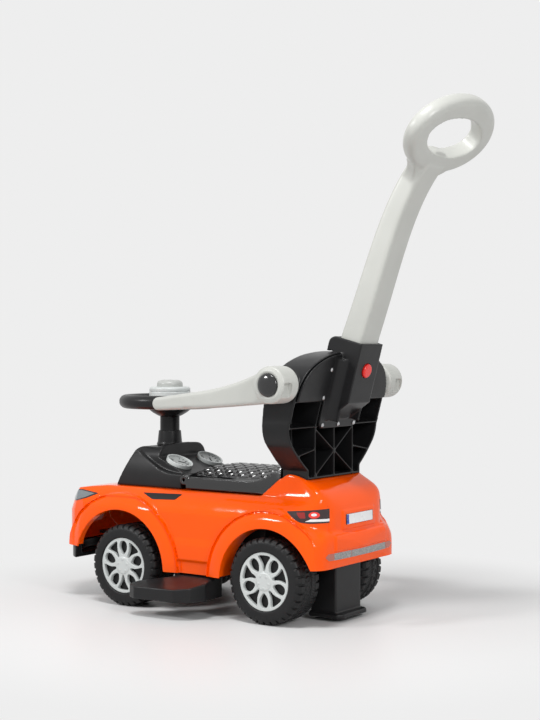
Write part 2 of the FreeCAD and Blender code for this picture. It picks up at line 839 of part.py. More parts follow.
def pod_form(amount, bottom):
    """The raised middle: a flat top under the column, then the hood and the panel behind it."""
    side = face_of("xz", (CFRONT + 4, bottom), (CFRONT + 4, TOP), (CFRONT + 26, CTOP - 20),
                   ((CFRONT + 31, CTOP - 5), (CFRONT + 42, CTOP)), (HOOD_X - 8, CTOP), (HOOD_X - 1, HOOD_Z),
                   ((PANEL_FRONT - 1.5, HOOD_Z - 1.5), (PANEL_FRONT, HOOD_Z - 5)), (PANEL_FRONT, PANEL_TOP),
                   (CREAR, EDGE), (CREAR, bottom))
    front = mirrored_yz([(0, 180), (POD, 180), (POD, CTOP - 28),
                         ((POD - 6, CTOP - 6), (POD - 26, CTOP + 4)), (0, HOOD_Z + 1)])
    form = along(inset(side, amount), (0, 1, 0), -POD - 20, POD + 20)
    return form.common(along(inset(front, amount), (1, 0, 0), CFRONT - 20, CREAR + 20))


thin = size("@console_wall")
console = saddle_form(0, TOP).fuse(pod_form(0, TOP))
console = console.cut(saddle_form(thin, TOP - 30)).cut(pod_form(thin, TOP - 30))
ear = across(HX, HZ, size("@bead_radius"), size("@lug_inner"), size("@lug_outer"))
ear = ear.fuse(box((CREAR - 2 * thin, size("@lug_inner"), TOP), (HX, size("@lug_outer"), HZ + thin)))
for piece in (ear, ear.mirror(Vector(0, 0, 0), Vector(0, 1, 0))):
    console = console.fuse(piece)
console = console.cut(across(HX, HZ, size("@pin_radius"), -CHALF, CHALF))
console = console.cut(Part.makeCylinder(size("@tube_radius") + 1, 60, Vector(-W, 0, CTOP - 40)))
console = console.cut(Part.makeCylinder(size("@sleeve_radius") + 2, 30, Vector(-W, 0, CTOP)))
formed("console", console.removeSplitter())

# Gauges: a bezel cup and a dial, standing on the sloping panel behind the hood

SLOPE = math.degrees(math.atan2(PANEL_TOP - EDGE, CREAR - PANEL_FRONT))
PANEL_X = -size("@gauge_x")
PANEL_Z = EDGE + (CREAR - PANEL_X) * math.tan(math.radians(SLOPE))
GAUGE = Rotation(Vector(0, 1, 0), SLOPE)
DIAL = "@gauge_radius - @gauge_rim"
for word, side in (("left", -1), ("right", 1)):
    spot = ("@rear_axle_x - @gauge_x", "%d * @gauge_spread" % side, "%r" % PANEL_Z)
    turned("gauge_bezel_" + word, [
        (DIAL, "0"), ("@gauge_radius", "0"), ("@gauge_radius", "@gauge_height - 1.5"),
        ("@gauge_radius - 1.5", "@gauge_height"), (DIAL, "@gauge_height - 1"),
    ], *spot, GAUGE)
    turned("gauge_face_" + word, [
        ("0", "0"), (DIAL, "0"), (DIAL, "@gauge_height - 4"), ("0", "@gauge_height - 4"),
    ], *spot, GAUGE)

# Seat lid on its front hinge pin

SEAT = size("@seat_half")
SEAT_EDGE = TOP + size("@seat_side")
CROWN = SEAT_EDGE + size("@seat_crown")


def seat_form(amount, low):
    """A crowned seat whose full width rises to a lip at the backrest."""
    bottom = TOP + size("@seam") if not low else TOP - 30
    rear = [(-30.5, bottom), (0.5, bottom + 28.5)] if not low else [(0.5, bottom)]
    lip = face_of("xz", (HX + 5, bottom), *rear, (0.5, 271), ((-32, 249), (-78, SEAT_EDGE)),
                  (HX + 5, SEAT_EDGE))
    wide = mirrored_yz([(0, 150), (SEAT, 150), (SEAT, 232), ((SEAT - 4, 248), (SEAT - 14, 278)), (0, 282)])
    crown = face_of("xz", (HX + 5, bottom), *rear, (0.5, CROWN + 5), (-60, CROWN), (-150, CROWN),
                    ((-186, CROWN - 6), (HX + 5, EDGE)))
    domed = mirrored_yz([(0, 150), (SEAT, 150), (SEAT, 232), (SEAT - 6, SEAT_EDGE - 1),
                         ((SEAT / 2, CROWN - 6), (0, CROWN + 0.5))])
    form = []
    for side, section in ((lip, wide), (crown, domed)):
        bar = along(inset(side, amount), (0, 1, 0), -120, 120)
        form.append(bar.common(along(inset(section, amount), (1, 0, 0), -260, 60)))
    return form[0].fuse(form[1])


seat = seat_form(0, False)
room = seat_form(size("@seat_wall"), True)
ramp = face_of("xz", (-60, 205), (30, 205), (30, 272), (0.5, 262))
room = room.cut(along(ramp, (0, 1, 0), -120, 120))
seat = seat.cut(room)
seat = seat.fuse(across(HX, HZ, size("@bead_radius"), -SEAT, SEAT))
slot_low = size("@lug_inner - @lug_gap")
slot_high = size("@lug_outer + @lug_gap")
slot_rear = HX + size("@bead_radius + 4 * @lug_gap")
for low, high in ((slot_low, slot_high), (-slot_high, -slot_low)):
    seat = seat.cut(box((HX - 40, low, TOP - 40), (slot_rear, high, CTOP)))
seat = seat.cut(across(HX, HZ, size("@pin_radius") + size("@running_gap"), -SEAT - 10, SEAT + 10))
formed("seat_lid", seat)
rod("seat_hinge_pin", "@pin_radius", "2 * @pin_half", REAR + " - @hinge_x", "-@pin_half",
    "@hinge_height", ALONG_Y)

# Steering: shaft, column, wheel and front axle carrier

turned("column_sleeve", [
    ("@tube_radius + @face_gap", "@console_top"), ("@sleeve_radius + 1.5", "@console_top"),
    ("@sleeve_radius + 1.5", "@console_top + 3"), ("@sleeve_radius", "@console_top + 6"),
    ("@sleeve_radius - 2.2", "@console_top + 28"), ("@tube_radius + @face_gap", "@console_top + 28"),
], FRONT, "0", "0")
turned("steering_column", [
    ("@shaft_radius", "@console_top - 30"), ("@tube_radius", "@console_top - 30"),
    ("@tube_radius", "@tube_top"), ("@shaft_radius", "@tube_top"),
], FRONT, "0", "0")
rod("steering_shaft", "@shaft_radius", "@spoke_base - @wheel_radius - 11", FRONT, "0",
    "@wheel_radius + 11")
turned("hub_bowl", [
    ("@shaft_radius", "@tube_top"), ("@tube_radius + 1.5", "@tube_top"),
    ("@hub_plate - 6", "@tube_top + 8"), ("@hub_plate + 0.7", "@tube_top + 14"),
    ("@hub_plate + 0.7", "@spoke_base"), ("@shaft_radius", "@spoke_base"),
], FRONT, "0", "0")
rim = doc.addObject("Part::Torus", "steering_rim")
rim.setExpression("Radius1", cells("@rim_radius"))
rim.setExpression("Radius2", cells("@rim_section"))
place(rim, FRONT, "0", "@rim_height")
rim_cut = doc.addObject("Part::Torus", "rim_room")
rim_cut.setExpression("Radius1", cells("@rim_radius"))
rim_cut.setExpression("Radius2", cells("@rim_section"))
place(rim_cut, FRONT, "0", "@rim_height")
plate = rod("spoke_plate", "@hub_plate", "@hub_top - @spoke_base", FRONT, "0", "@spoke_base")
spoke_z = ("@spoke_base", "@spoke_base + @spoke_depth")
arms = [
    block("spoke_left", (FRONT + " - 17", FRONT + " + 17"), ("-@rim_radius", "-20"), spoke_z),
    block("spoke_right", (FRONT + " - 17", FRONT + " + 17"), ("20", "@rim_radius"), spoke_z),
    block("spoke_rear", (FRONT + " + 20", FRONT + " + @rim_radius"), ("-13", "13"), spoke_z),
]
wells = [
    rod("well_%d" % step, "@button_radius + @face_gap", "8", FRONT, "%d * @button_reach" % side,
        "@spoke_base + @spoke_depth - 6")
    for step, side in enumerate((-1, 1))
]
less("steering_spokes", joined("spoke_star", [plate] + arms), rim_cut, *wells)
for word, side in (("left", -1), ("right", 1)):
    rod("music_button_" + word, "@button_radius", "6", FRONT, "%d * @button_reach" % side,
        "@spoke_base + @spoke_depth - 3.5")
turned("hub_ring", [
    ("@horn_radius + @face_gap", "@hub_top"), ("@hub_plate - 0.7", "@hub_top"),
    ("@hub_plate - 0.7", "@ring_top - 3"), ("@hub_plate - 4", "@ring_top"),
    ("@horn_radius + @face_gap", "@ring_top"),
], FRONT, "0", "0")
turned("horn_cap", [
    ("0", "@horn_base"), ("@horn_radius", "@horn_base"), ("@horn_radius", "@horn_top - 6"),
    ("@horn_radius - 3", "@horn_top - 2"), ("@horn_radius - 9", "@horn_top"), ("0", "@horn_top"),
], FRONT, "0", "0")
carrier = joined("carrier_body", [
    block("carrier_block", (FRONT + " - 15", FRONT + " + 15"), ("-@axle_block", "@axle_block"),
          ("@wheel_radius - 12", "@wheel_radius + 16")),
    rod("carrier_collar", "@shaft_radius + 9", "@plate_base - 9 - @wheel_radius", FRONT, "0",
        "@wheel_radius"),
])
less("front_axle_carrier", carrier,
     rod("carrier_bore", "@axle_radius", "2 * @axle_block + 2", FRONT, "-@axle_block - 1",
         "@wheel_radius", ALONG_Y),
     rod("carrier_socket", "@shaft_radius", "80", FRONT, "0", "@wheel_radius + 11"))

# Backrest: a shallow moulded dish, open to the rear and stiffened with ribs

BF = size("@back_front")
BR = size("@back_rear")
BH = size("@back_half")
AX = size("@arm_x")
AZ = size("@arm_height")
LEAN = size("@socket_lean")
TONGUE = size("@tongue_half")
TONGUE_BASE = AZ - size("@tongue_drop")
WING_BASE = AZ - size("@wing_drop")


def up(share):
    """A height between the deck and the pivots of the arms."""
    return DECK + (AZ - DECK) * share


def back_outline():
    """The backrest from behind: its shoulders and its crown follow the pivots of the arms."""
    return mirrored_yz([(0, DECK), (87, DECK), (87, up(0.09)), ((112, up(0.21)), (BH - 12, up(0.355))),
                        ((BH - 1, up(0.49)), (BH, up(0.62))), (BH, up(0.825)),
                        ((BH - 9, AZ + 5), (BH - 33, AZ + 31)), ((BH - 60, AZ + 44), (BH - 92, AZ + 52)),
                        ((30, AZ + 55), (0, AZ + 56))])


def leaning(x, z):
    """A point on a line that starts upright over x and leans back with the socket."""
    return (x + (z - TONGUE_BASE) * math.tan(math.radians(LEAN)), z)


def back_band(shift, rear):
    """The backrest from the side: upright, then leaning back towards the crown."""
    front = BF + shift
    return face_of("xz", (front, DECK - 49), (front, up(0.31)),
                   ((front + 1, up(0.79)), (front + 13, AZ + 15)),
                   ((front + 22, AZ + 40), (front + 41, AZ + 65)),
                   leaning(rear, AZ + 65), (rear, TONGUE_BASE), (rear, DECK - 49))


back_wall = size("@back_wall")
dish = along(back_outline(), (1, 0, 0), -60, 160).common(along(back_band(0, BR), (0, 1, 0), -200, 200))
room = along(inset(back_outline(), back_wall), (1, 0, 0), -60, 160)
room = room.common(along(back_band(back_wall, BR + 60), (0, 1, 0), -200, 200))
back = dish.cut(room)
RIB = 2.6
FOOT = DECK + 5
RIBS = [
    ((-TONGUE, DECK - 4), (-TONGUE, AZ + 55)),
    ((TONGUE, DECK - 4), (TONGUE, AZ + 55)),
    ((-TONGUE, FOOT), (TONGUE, TONGUE_BASE)),
    ((TONGUE, FOOT), (-TONGUE, TONGUE_BASE)),
    ((-BH - 2, TONGUE_BASE + 4), (BH + 2, TONGUE_BASE + 4)),
    ((0, FOOT), (0, TONGUE_BASE + 4)),
    ((-BH + 28, up(0.25)), (-TONGUE, up(0.31))),
    ((BH - 28, up(0.25)), (TONGUE, up(0.31))),
    ((-BH - 2, WING_BASE), (-TONGUE, WING_BASE)),
    ((BH + 2, WING_BASE), (TONGUE, WING_BASE)),
]
ribs = []
for (ya, za), (yb, zb) in RIBS:
    plate = Part.makeBox(120, math.hypot(yb - ya, zb - za), RIB, Vector(0, 0, -RIB / 2))
    lay = Rotation(Vector(1, 0, 0), math.degrees(math.atan2(zb - za, yb - ya)))
    plate.Placement = Placement(Vector(-20, ya, za), lay)
    ribs.append(plate.common(room).common(dish))
SPOTS = [(0, 8), (TONGUE - 10, 8), (10 - TONGUE, 8), (TONGUE + 6, 58), (-TONGUE - 6, 58),
         (TONGUE, 108), (-TONGUE, 108)]
OUTWARD = Vector(math.cos(math.radians(LEAN)), 0, -math.sin(math.radians(LEAN)))


def on_back(x, y, rise, depth):
    """A point over the leaning rear of the backrest: up its slope, then out of it."""
    foot_x, foot_z = turned_point(x, TONGUE_BASE, LEAN, depth, rise)
    return Vector(foot_x, y, foot_z)


posts = [Part.makeCylinder(size("@screw_post"), 90, on_back(BR, y, rise, -90), OUTWARD).common(dish)
         for y, rise in SPOTS]
back = back.fuse(ribs + posts)
INNER = size("@arm_inner")
BOSS = INNER - size("@boss_reach")
for low, high in ((BOSS, INNER - 0.5), (0.5 - INNER, -BOSS)):
    back = back.fuse(across(AX, AZ, size("@arm_boss"), low, high))
screw_tip = size("@face_gap + @bracket_plate - @screw_length")
for y, rise in SPOTS:
    back = back.cut(Part.makeCylinder(size("@screw_shank"), 100, on_back(BR, y, rise, screw_tip), OUTWARD))

# Handle bracket with the socket

SX = size("@socket_x")
SZ = AZ + size("@socket_rise")
SOCKET = size("@socket_half")
DEPTH = size("@tang_depth")
gap = size("@slide_gap")
SW = size("@socket_wall")
BACK = DEPTH / 2 + gap + SW
PLATE = BR + size("@face_gap")
PLATE_REAR = PLATE + size("@bracket_plate")


def lean_box(half_y, low_u, high_u, low_v, high_v):
    """A bar along the leaning axis of the socket, between distances across and along it."""
    bar = Part.makeBox(high_u - low_u, 2 * half_y, high_v - low_v, Vector(low_u, -half_y, low_v))
    bar.Placement = Placement(Vector(SX, 0, SZ), Rotation(Vector(0, 1, 0), LEAN))
    return bar


slab = face_of("xz", leaning(PLATE, TONGUE_BASE), leaning(PLATE_REAR, TONGUE_BASE),
               leaning(PLATE_REAR, AZ + 65), leaning(PLATE, AZ + 65))
slab = along(slab, (0, 1, 0), -200, 200)
wings = along(inset(back_outline(), size("@bracket_step")), (1, 0, 0), -60, 200)
wings = wings.common(box((0, -BH, WING_BASE), (200, BH, AZ + 105)))
tongue = along(mirrored_yz([(0, TONGUE_BASE), (TONGUE - 14, TONGUE_BASE),
                            ((TONGUE - 4, TONGUE_BASE + 4), (TONGUE, TONGUE_BASE + 14)),
                            (TONGUE, WING_BASE + 4), (0, WING_BASE + 4)]), (1, 0, 0), -60, 200)
mount = wings.fuse(tongue).common(slab)


def beside(u, v):
    """A point u across and v along the axis of the socket."""
    return turned_point(SX, SZ, LEAN, u, v)


case = face_of("xz", beside(BACK, -106), beside(BACK, 0), beside(-DEPTH / 2, 0),
               (beside(-BACK - 6, -2.5), beside(-BACK - 12, -12)),
               beside(-BACK - 12, -29), beside(-BACK, -26), beside(-BACK, -60),
               leaning(PLATE + 2, TONGUE_BASE + 16), leaning(PLATE_REAR + 1, TONGUE_BASE + 16),
               (beside(BACK / 3, -128), beside(BACK, -106)))
case = along(case, (0, 1, 0), -SOCKET, SOCKET)
mount = mount.fuse(case)
cove = face_of("xy", (-2, SOCKET - 4), (-2, SOCKET + 18), (0.6, SOCKET + 18),
               ((5, SOCKET + 6), (20, SOCKET - 0.6)), (20, SOCKET - 4))
cove = along(cove, (0, 0, 1), 16, 126)
cove.Placement = Placement(Vector(PLATE_REAR, 0, TONGUE_BASE), Rotation(Vector(0, 1, 0), LEAN))
cove = cove.common(along(inset(back_outline(), size("@bracket_step") + 1), (1, 0, 0), -60, 200))
mount = mount.fuse(cove).fuse(cove.mirror(Vector(0, 0, 0), Vector(0, 1, 0)))
back = back.cut(lean_box(SOCKET + gap, -BACK - gap, 2 * BACK, -106 - gap, 80))
formed("backrest", back.removeSplitter())


def tang_prism(half_y, half_u, low, high):
    """A bar centred on the leaning axis of the socket."""
    return lean_box(half_y, -half_u, half_u, low, high)


SD = size("@socket_depth")
mount = mount.cut(tang_prism(size("@tang_half") + gap, DEPTH / 2 + gap, -SD, 60))
RR = size("@release_radius")
RD = size("@release_drop")
seat_x, seat_z = turned_point(SX, SZ, LEAN, DEPTH / 2 - 8, -RD)
mount = mount.cut(Part.makeCylinder(RR + gap, 60, Vector(seat_x, 0, seat_z), OUTWARD))

# Screws of the bracket, heads on its rear face

screws = []
BACKWARDS = Rotation(Vector(0, 1, 0), 90 + LEAN)
for step, (y, rise) in enumerate(SPOTS):
    under_head = on_back(BR, y, rise, size("@face_gap + @bracket_plate"))
    tip = on_back(BR, y, rise, screw_tip)
    head = turned("screw_head_%d" % step, [
        ("0", "0"), ("@screw_head", "0"), ("@screw_head", "0.8"),
        ("@screw_head * 0.5", "2.2"), ("0", "2.4"),
    ], "@rear_axle_x + (%r)" % under_head.x, "%r" % y, "%r" % under_head.z, BACKWARDS)
    shank = rod("screw_shank_%d" % step, "@screw_shank", "@screw_length", "@rear_axle_x + (%r)" % tip.x,
                "%r" % y, "%r" % tip.z, BACKWARDS)
    screws.append(joined("screw_%d" % step, [head, shank]))
    mount = mount.cut(Part.makeCylinder(size("@screw_shank"), 60, tip, OUTWARD))
grouped("bracket_screws", screws)
formed("handle_bracket", mount)

# Release button in the rear wall of the socket

button_x, button_z = turned_point(SX, SZ, LEAN, DEPTH / 2 - 4.5, -RD)
turned("release_button", [
    ("0", "0"), ("@release_radius", "0"), ("@release_radius", "4.5 + @slide_gap + @socket_wall + 2"),
    ("@release_radius - 2", "4.5 + @slide_gap + @socket_wall + @release_proud"),
    ("0", "4.5 + @slide_gap + @socket_wall + @release_proud"),
], "@rear_axle_x + (%r)" % button_x, "0", "%r" % button_z, Rotation(Vector(0, 1, 0), 90 + LEAN))

# Push handle: tang, curved stem and grip loop


def rounded_bar(half_u, half_v, radius):
    """A rectangle with rounded corners in the XY plane, as a wire about the origin."""
    corners = [(-half_u, -half_v), (half_u, -half_v), (half_u, half_v), (-half_u, half_v)]
    flat = Part.Face(Part.makePolygon([Vector(u, v, 0) for u, v in corners + corners[:1]]))
    return inset(inset(flat, radius), -radius).OuterWire


def set_on(wire, x, z, lean):
    """The wire laid across a line that leans back by an angle at a point."""
    copy = wire.copy()
    copy.Placement = Placement(Vector(x, 0, z), Rotation(Vector(0, 1, 0), lean))
    return copy


LL = size("@loop_lean")
LX = size("@loop_x")
LZ = size("@loop_height")
LR = size("@loop_rise")
tang_x, tang_z = turned_point(SX, SZ, LEAN, 0, -SD + 4)
neck_x, neck_z = turned_point(LX, LZ, LL, 0, -LR)
top_x, top_z = turned_point(SX, SZ, LEAN, 0, 6)
lean_line = lambda angle: Vector(math.sin(math.radians(angle)), 0, math.cos(math.radians(angle)))
TH = size("@tang_half")
ROUND_EDGE = size("@stem_round")
bar = Part.Face(rounded_bar(DEPTH / 2, TH, ROUND_EDGE))
bar.Placement = Placement(Vector(tang_x, 0, tang_z), Rotation(Vector(0, 1, 0), LEAN))
tang = bar.extrude(lean_line(LEAN) * (SD + 2))
STEM = [(0.0, 0.0, LEAN), (0.172, 0.212, 19.0), (0.378, 0.473, 20.5), (0.618, 0.735, 27.0), (1.0, 1.0, LL)]
sections = []
for step, (along_x, along_z, lean) in enumerate(STEM):
    x = top_x + (neck_x - top_x) * along_x
    z = top_z + (neck_z - top_z) * along_z
    share = step / (len(STEM) - 1)
    thick = DEPTH / 2 + (size("@neck_thick") - DEPTH / 2) * share
    half = TH + (size("@neck_half") - TH) * share
    sections.append(set_on(rounded_bar(thick, half, ROUND_EDGE), x, z, lean))
stem = Part.makeLoft(sections, True, False)
handle = tang.fuse(stem)


def oval(grow, low, high):
    """A disc with the outline of the loop's centre line, moved out or in."""
    edge = Part.Ellipse(Vector(0, 0, 0), size("@loop_half") + grow, LR + grow).toShape()
    return along(Part.Face(Part.Wire([edge])), (0, 0, 1), low, high)


BAND = size("@loop_band")
THICK = size("@loop_thick")
loop = oval(BAND, -THICK, THICK).cut(oval(-BAND, -THICK - 1, THICK + 1))
rims = [edge for edge in loop.Edges if edge.Curve.TypeId == "Part::GeomEllipse"]
loop = loop.makeFillet(size("@loop_round"), rims)
lay = Rotation(Vector(0, 1, 0), LL - 90).multiply(Rotation(Vector(0, 0, 1), 90))
loop.Placement = Placement(Vector(LX, 0, LZ), lay)
handle = handle.fuse(loop)
slot = tang_prism(RR + gap + 2, 9, -SD - 5, -RD + RR + 8)
slot.translate(OUTWARD * (DEPTH / 2 + 9 - 9.5))
handle = handle.cut(slot).removeSplitter()
formed("push_handle", handle)

# Guard arms, their posts and dome caps

HUB = size("@arm_hub")


def arm_shape(side):
    blade = face_of("xz", (-6, 31.0), ((-75, 5), (-160, -13)), (-266, -26.5), ((-278, -39), (-266, -50)),
                    ((-130, -42), (-6, -31.0)))
    half = size("@arm_blade") / 2
    blade = along(blade, (0, 1, 0), -half, half)
    blade = blade.makeFillet(7.0, [e for e in blade.Edges if abs(e.Length - 2 * half) > 0.01])
    blade.rotate(Vector(0, 0, 0), Vector(0, 0, 1), side * size("@arm_toe"))
    inner, reach = size("@arm_inner"), size("@arm_outer")
    blade.translate(Vector(AX, side * (inner + reach) / 2, AZ))
    hub = Part.makeCylinder(HUB, reach - inner, Vector(AX, inner, AZ), Vector(0, 1, 0))
    hub = hub.makeFillet(5.0, [e for e in hub.Edges if e.Curve.TypeId == "Part::GeomCircle"])
    if side < 0:
        hub = hub.mirror(Vector(0, 0, 0), Vector(0, 1, 0))
    flush = box((-400, reach, 0), (400, reach + 100, 900))
    clear = box((BF - 10, 0, 0), (400, inner, 900))
    for trim in (flush, clear):
        blade = blade.cut(trim if side > 0 else trim.mirror(Vector(0, 0, 0), Vector(0, 1, 0)))
    arm = hub.fuse(blade)
    arm = arm.cut(across(AX, AZ, size("@pivot_radius") + size("@running_gap"), -260, 260))
    low = inner + 21 if side > 0 else -inner - 44
    arm = arm.cut(box((AX + HUB - 9, low, AZ - 20), (AX + HUB + 10, low + 23, AZ + 3)))
    return arm.removeSplitter()


for word, side in (("left", -1), ("right", 1)):
    formed("guard_arm_" + word, arm_shape(side))
    length = "@arm_outer - @arm_inner + 0.5 + @face_gap"
    start = "@arm_inner - 0.5" if side > 0 else "-@arm_outer - @face_gap"
    rod("arm_pivot_" + word, "@pivot_radius", length, REAR + " + @arm_x", start, "@arm_height", ALONG_Y)
    turned("arm_cap_" + word, [
        ("0", "0"), ("@cap_radius", "0"), ("@cap_radius", "2"), ("@cap_radius - 4", "5.5"),
        ("@cap_radius - 11", "7.5"), ("0", "8"),
    ], REAR + " + @arm_x", "%d * (@arm_outer + @face_gap)" % side, "@arm_height",
        Rotation(Vector(1, 0, 0), -90 * side))

formed("body_shell", shell)
doc.recompute()

NODES = [
    "body_shell", "front_skirt", "chassis_tray", "footrest_left", "footrest_right", "anti_tip_stop",
    "headlights", "taillights", "side_vents", "front_grille", "number_plate", "reflector_strip",
    "console", "gauge_bezel_left", "gauge_bezel_right", "gauge_face_left", "gauge_face_right",
    "storage_tub", "seat_lid", "seat_hinge_pin",
    "column_sleeve", "steering_column", "steering_shaft", "hub_bowl", "steering_rim", "steering_spokes",
    "hub_ring", "horn_cap", "music_button_left", "music_button_right", "front_axle_carrier",
    "front_axle", "push_nuts_front", "axle_spacers_front",
    "rear_axle", "push_nuts_rear", "axle_spacers_rear",
    "tyre_front_left", "tyre_front_right", "tyre_rear_left", "tyre_rear_right",
    "wheel_cover_front_left", "wheel_cover_front_right",
    "wheel_cover_rear_left", "wheel_cover_rear_right",
    "backrest", "handle_bracket", "bracket_screws", "release_button", "push_handle",
    "guard_arm_left", "guard_arm_right", "arm_pivot_left", "arm_pivot_right",
    "arm_cap_left", "arm_cap_right",
]
for item in doc.Objects:
    if "Invalid" in item.State or "Error" in item.State:
        raise RuntimeError("%s: %s" % (item.Name, item.State))
low = Vector(1e9, 1e9, 1e9)
high = Vector(-1e9, -1e9, -1e9)
for name in NODES:
    piece = doc.getObject(name)
    piece.Label = name
    shape = piece.Shape
    if shape.isNull() or not shape.isValid():
        raise RuntimeError("bad shape: " + name)
    bounds = shape.optimalBoundingBox()
    low = Vector(min(low.x, bounds.XMin), min(low.y, bounds.YMin), min(low.z, bounds.ZMin))
    high = Vector(max(high.x, bounds.XMax), max(high.y, bounds.YMax), max(high.z, bounds.ZMax))
    shape.exportStep("parts/%s.step" % name)
print("box", low, high)
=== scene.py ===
import bmesh
import bpy
import math
import numpy as np
from mathutils import Matrix, Vector
from mathutils.bvhtree import BVHTree


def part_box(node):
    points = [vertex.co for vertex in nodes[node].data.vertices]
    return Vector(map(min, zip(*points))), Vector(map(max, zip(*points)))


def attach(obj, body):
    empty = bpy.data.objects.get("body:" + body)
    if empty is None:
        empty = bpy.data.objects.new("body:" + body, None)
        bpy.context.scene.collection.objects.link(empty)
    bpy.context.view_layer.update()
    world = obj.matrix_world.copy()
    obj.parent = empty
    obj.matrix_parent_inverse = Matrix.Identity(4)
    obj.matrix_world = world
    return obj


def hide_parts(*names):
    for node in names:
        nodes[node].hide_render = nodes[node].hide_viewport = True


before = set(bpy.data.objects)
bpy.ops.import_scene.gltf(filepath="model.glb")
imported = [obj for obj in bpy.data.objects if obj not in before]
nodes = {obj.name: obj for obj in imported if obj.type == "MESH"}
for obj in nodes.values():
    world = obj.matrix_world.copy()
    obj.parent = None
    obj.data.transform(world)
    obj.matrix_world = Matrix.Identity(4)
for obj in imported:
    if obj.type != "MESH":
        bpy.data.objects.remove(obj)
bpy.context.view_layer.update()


def middle(node):
    """The middle of a node's box."""
    low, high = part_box(node)
    return (low + high) / 2


MM = 0.001
REAR = middle("rear_axle").x
FRONT = middle("front_axle").x
WHEELBASE = (REAR - FRONT) / MM
SIDES = (("left", -1), ("right", 1))


def at(x, y, z):
    """A point in millimetres, measured along X from the rear axle, as a point of the frame."""
    return Vector((REAR + x * MM, y * MM, z * MM))


def ramp(value, low, high):
    """0 below low, 1 above high and a smooth rise between them."""
    share = np.clip((value - low) / (high - low), 0.0, 1.0)
    return share * share * (3.0 - 2.0 * share)


def between(value, rise, fall):
    """1 from the end of one stretch to the start of another, 0 outside them, smooth along both."""
    return ramp(value, *rise) * (1.0 - ramp(value, *fall))


# Materials

TEXTURE_ENDS = (0.3, 0.7)
DRIFT_SCALE = 11.0
GLOSS_SCALE = 34.0
GLOSS_SPREAD = 0.05
GRAIN_DEPTH = 0.0002
COAT_ROUGH = 0.06


def linear(code):
    """Six hex digits as the linear colour that a shader takes."""
    parts = [int(code[start:start + 2], 16) / 255 for start in (0, 2, 4)]
    return [p / 12.92 if p <= 0.04045 else ((p + 0.055) / 1.055) ** 2.4 for p in parts]


def shader(name):
    material = bpy.data.materials.new(name)
    material.use_nodes = True
    tree = material.node_tree
    return material, tree, tree.nodes["Principled BSDF"]


def object_place(tree):
    return tree.nodes.new("ShaderNodeTexCoord").outputs["Object"]


def feed(tree, node, links, values={}):
    """Links some inputs of a shader node and sets others, by name or number."""
    for key, source in links.items():
        tree.links.new(source, node.inputs[key])
    for key, value in values.items():
        node.inputs[key].default_value = value


def add_node(tree, kind, links, values={}, **settings):
    """A new shader node with its settings and inputs."""
    node = tree.nodes.new("ShaderNode" + kind)
    for key, value in settings.items():
        setattr(node, key, value)
    feed(tree, node, links, values)
    return node


def noise(tree, place, scale, detail):
    node = add_node(tree, "TexNoise", {"Vector": place}, {"Scale": scale, "Detail": detail})
    return node.outputs["Fac"]


def spread(tree, value, low, high):
    """A texture value between its usual ends, carried to the range low to high."""
    ends = {"From Min": TEXTURE_ENDS[0], "From Max": TEXTURE_ENDS[1], "To Min": low, "To Max": high}
    return add_node(tree, "MapRange", {"Value": value}, ends).outputs["Result"]


def tinted(tree, value, dark, light):
    """A texture value between its usual ends as a colour between two."""
    node = add_node(tree, "ValToRGB", {"Fac": value})
    for element, place, colour in zip(node.color_ramp.elements, TEXTURE_ENDS, (dark, light)):
        element.position = place
        element.color = (*colour, 1.0)
    return node.outputs["Color"]


def bumped(tree, bsdf, height, strength, distance):
    node = add_node(tree, "Bump", {"Height": height}, {"Strength": strength, "Distance": distance})
    feed(tree, bsdf, {"Normal": node.outputs["Normal"]})


def moulded(name, code, rough, grain, bump, drift, coat=0.0, specular=0.5):
    """Moulded plastic: a slow drift of colour and gloss over the piece and a fine grain."""
    material, tree, bsdf = shader(name)
    colour = linear(code)
    place = object_place(tree)
    slow = noise(tree, place, DRIFT_SCALE, 3.0)
    dark = [c * (1.0 - drift) for c in colour]
    light = [min(c * (1.0 + drift), 1.0) for c in colour]
    tint = tinted(tree, slow, dark, light)
    uneven = noise(tree, place, GLOSS_SCALE, 4.0)
    gloss = spread(tree, uneven, rough - GLOSS_SPREAD, rough + GLOSS_SPREAD)
    bumped(tree, bsdf, noise(tree, place, grain, 2.0), bump, GRAIN_DEPTH)
    feed(tree, bsdf, {"Base Color": tint, "Roughness": gloss},
         {"Coat Weight": coat, "Coat Roughness": COAT_ROUGH, "Specular IOR Level": specular})
    return material


# Name, colour, roughness, scale of the grain, its strength and the drift of the colour

ORANGE = moulded("orange_gloss", "FF5700", 0.09, 420.0, 0.01, 0.03, specular=0.22)
BLACK = moulded("black_satin", "1D1D1E", 0.34, 900.0, 0.12, 0.10, specular=0.24)
SEAT_BLACK = moulded("black_gloss", "101011", 0.11, 900.0, 0.01, 0.08, specular=0.8)
TYRE_BLACK = moulded("tyre_matte", "1A1A1B", 0.44, 1100.0, 0.20, 0.14, specular=0.24)
GREY = moulded("grey_satin", "B9BAB5", 0.36, 800.0, 0.06, 0.03)
SILVER = moulded("silver_satin", "C4C8C7", 0.32, 800.0, 0.05, 0.04)
RED = moulded("red_gloss", "E8231C", 0.22, 500.0, 0.03, 0.04, coat=0.2)
DOME = moulded("black_dome", "1B1B1C", 0.14, 500.0, 0.03, 0.06, coat=0.3)
WHITE = moulded("plate_white", "E9EBEC", 0.30, 600.0, 0.02, 0.02)
BLUE = moulded("plate_blue", "2746A8", 0.30, 600.0, 0.02, 0.03)
LENS_DARK = moulded("lens_dark", "2A1416", 0.16, 500.0, 0.02, 0.20, coat=0.4)
LENS_RED = moulded("lens_red", "8E1512", 0.16, 500.0, 0.02, 0.15, coat=0.4)
LENS_GLOW = moulded("lens_glow", "F0342A", 0.18, 500.0, 0.02, 0.10, coat=0.4)
LENS_CLEAR = moulded("lens_clear", "6F767A", 0.16, 500.0, 0.02, 0.16, coat=0.4)
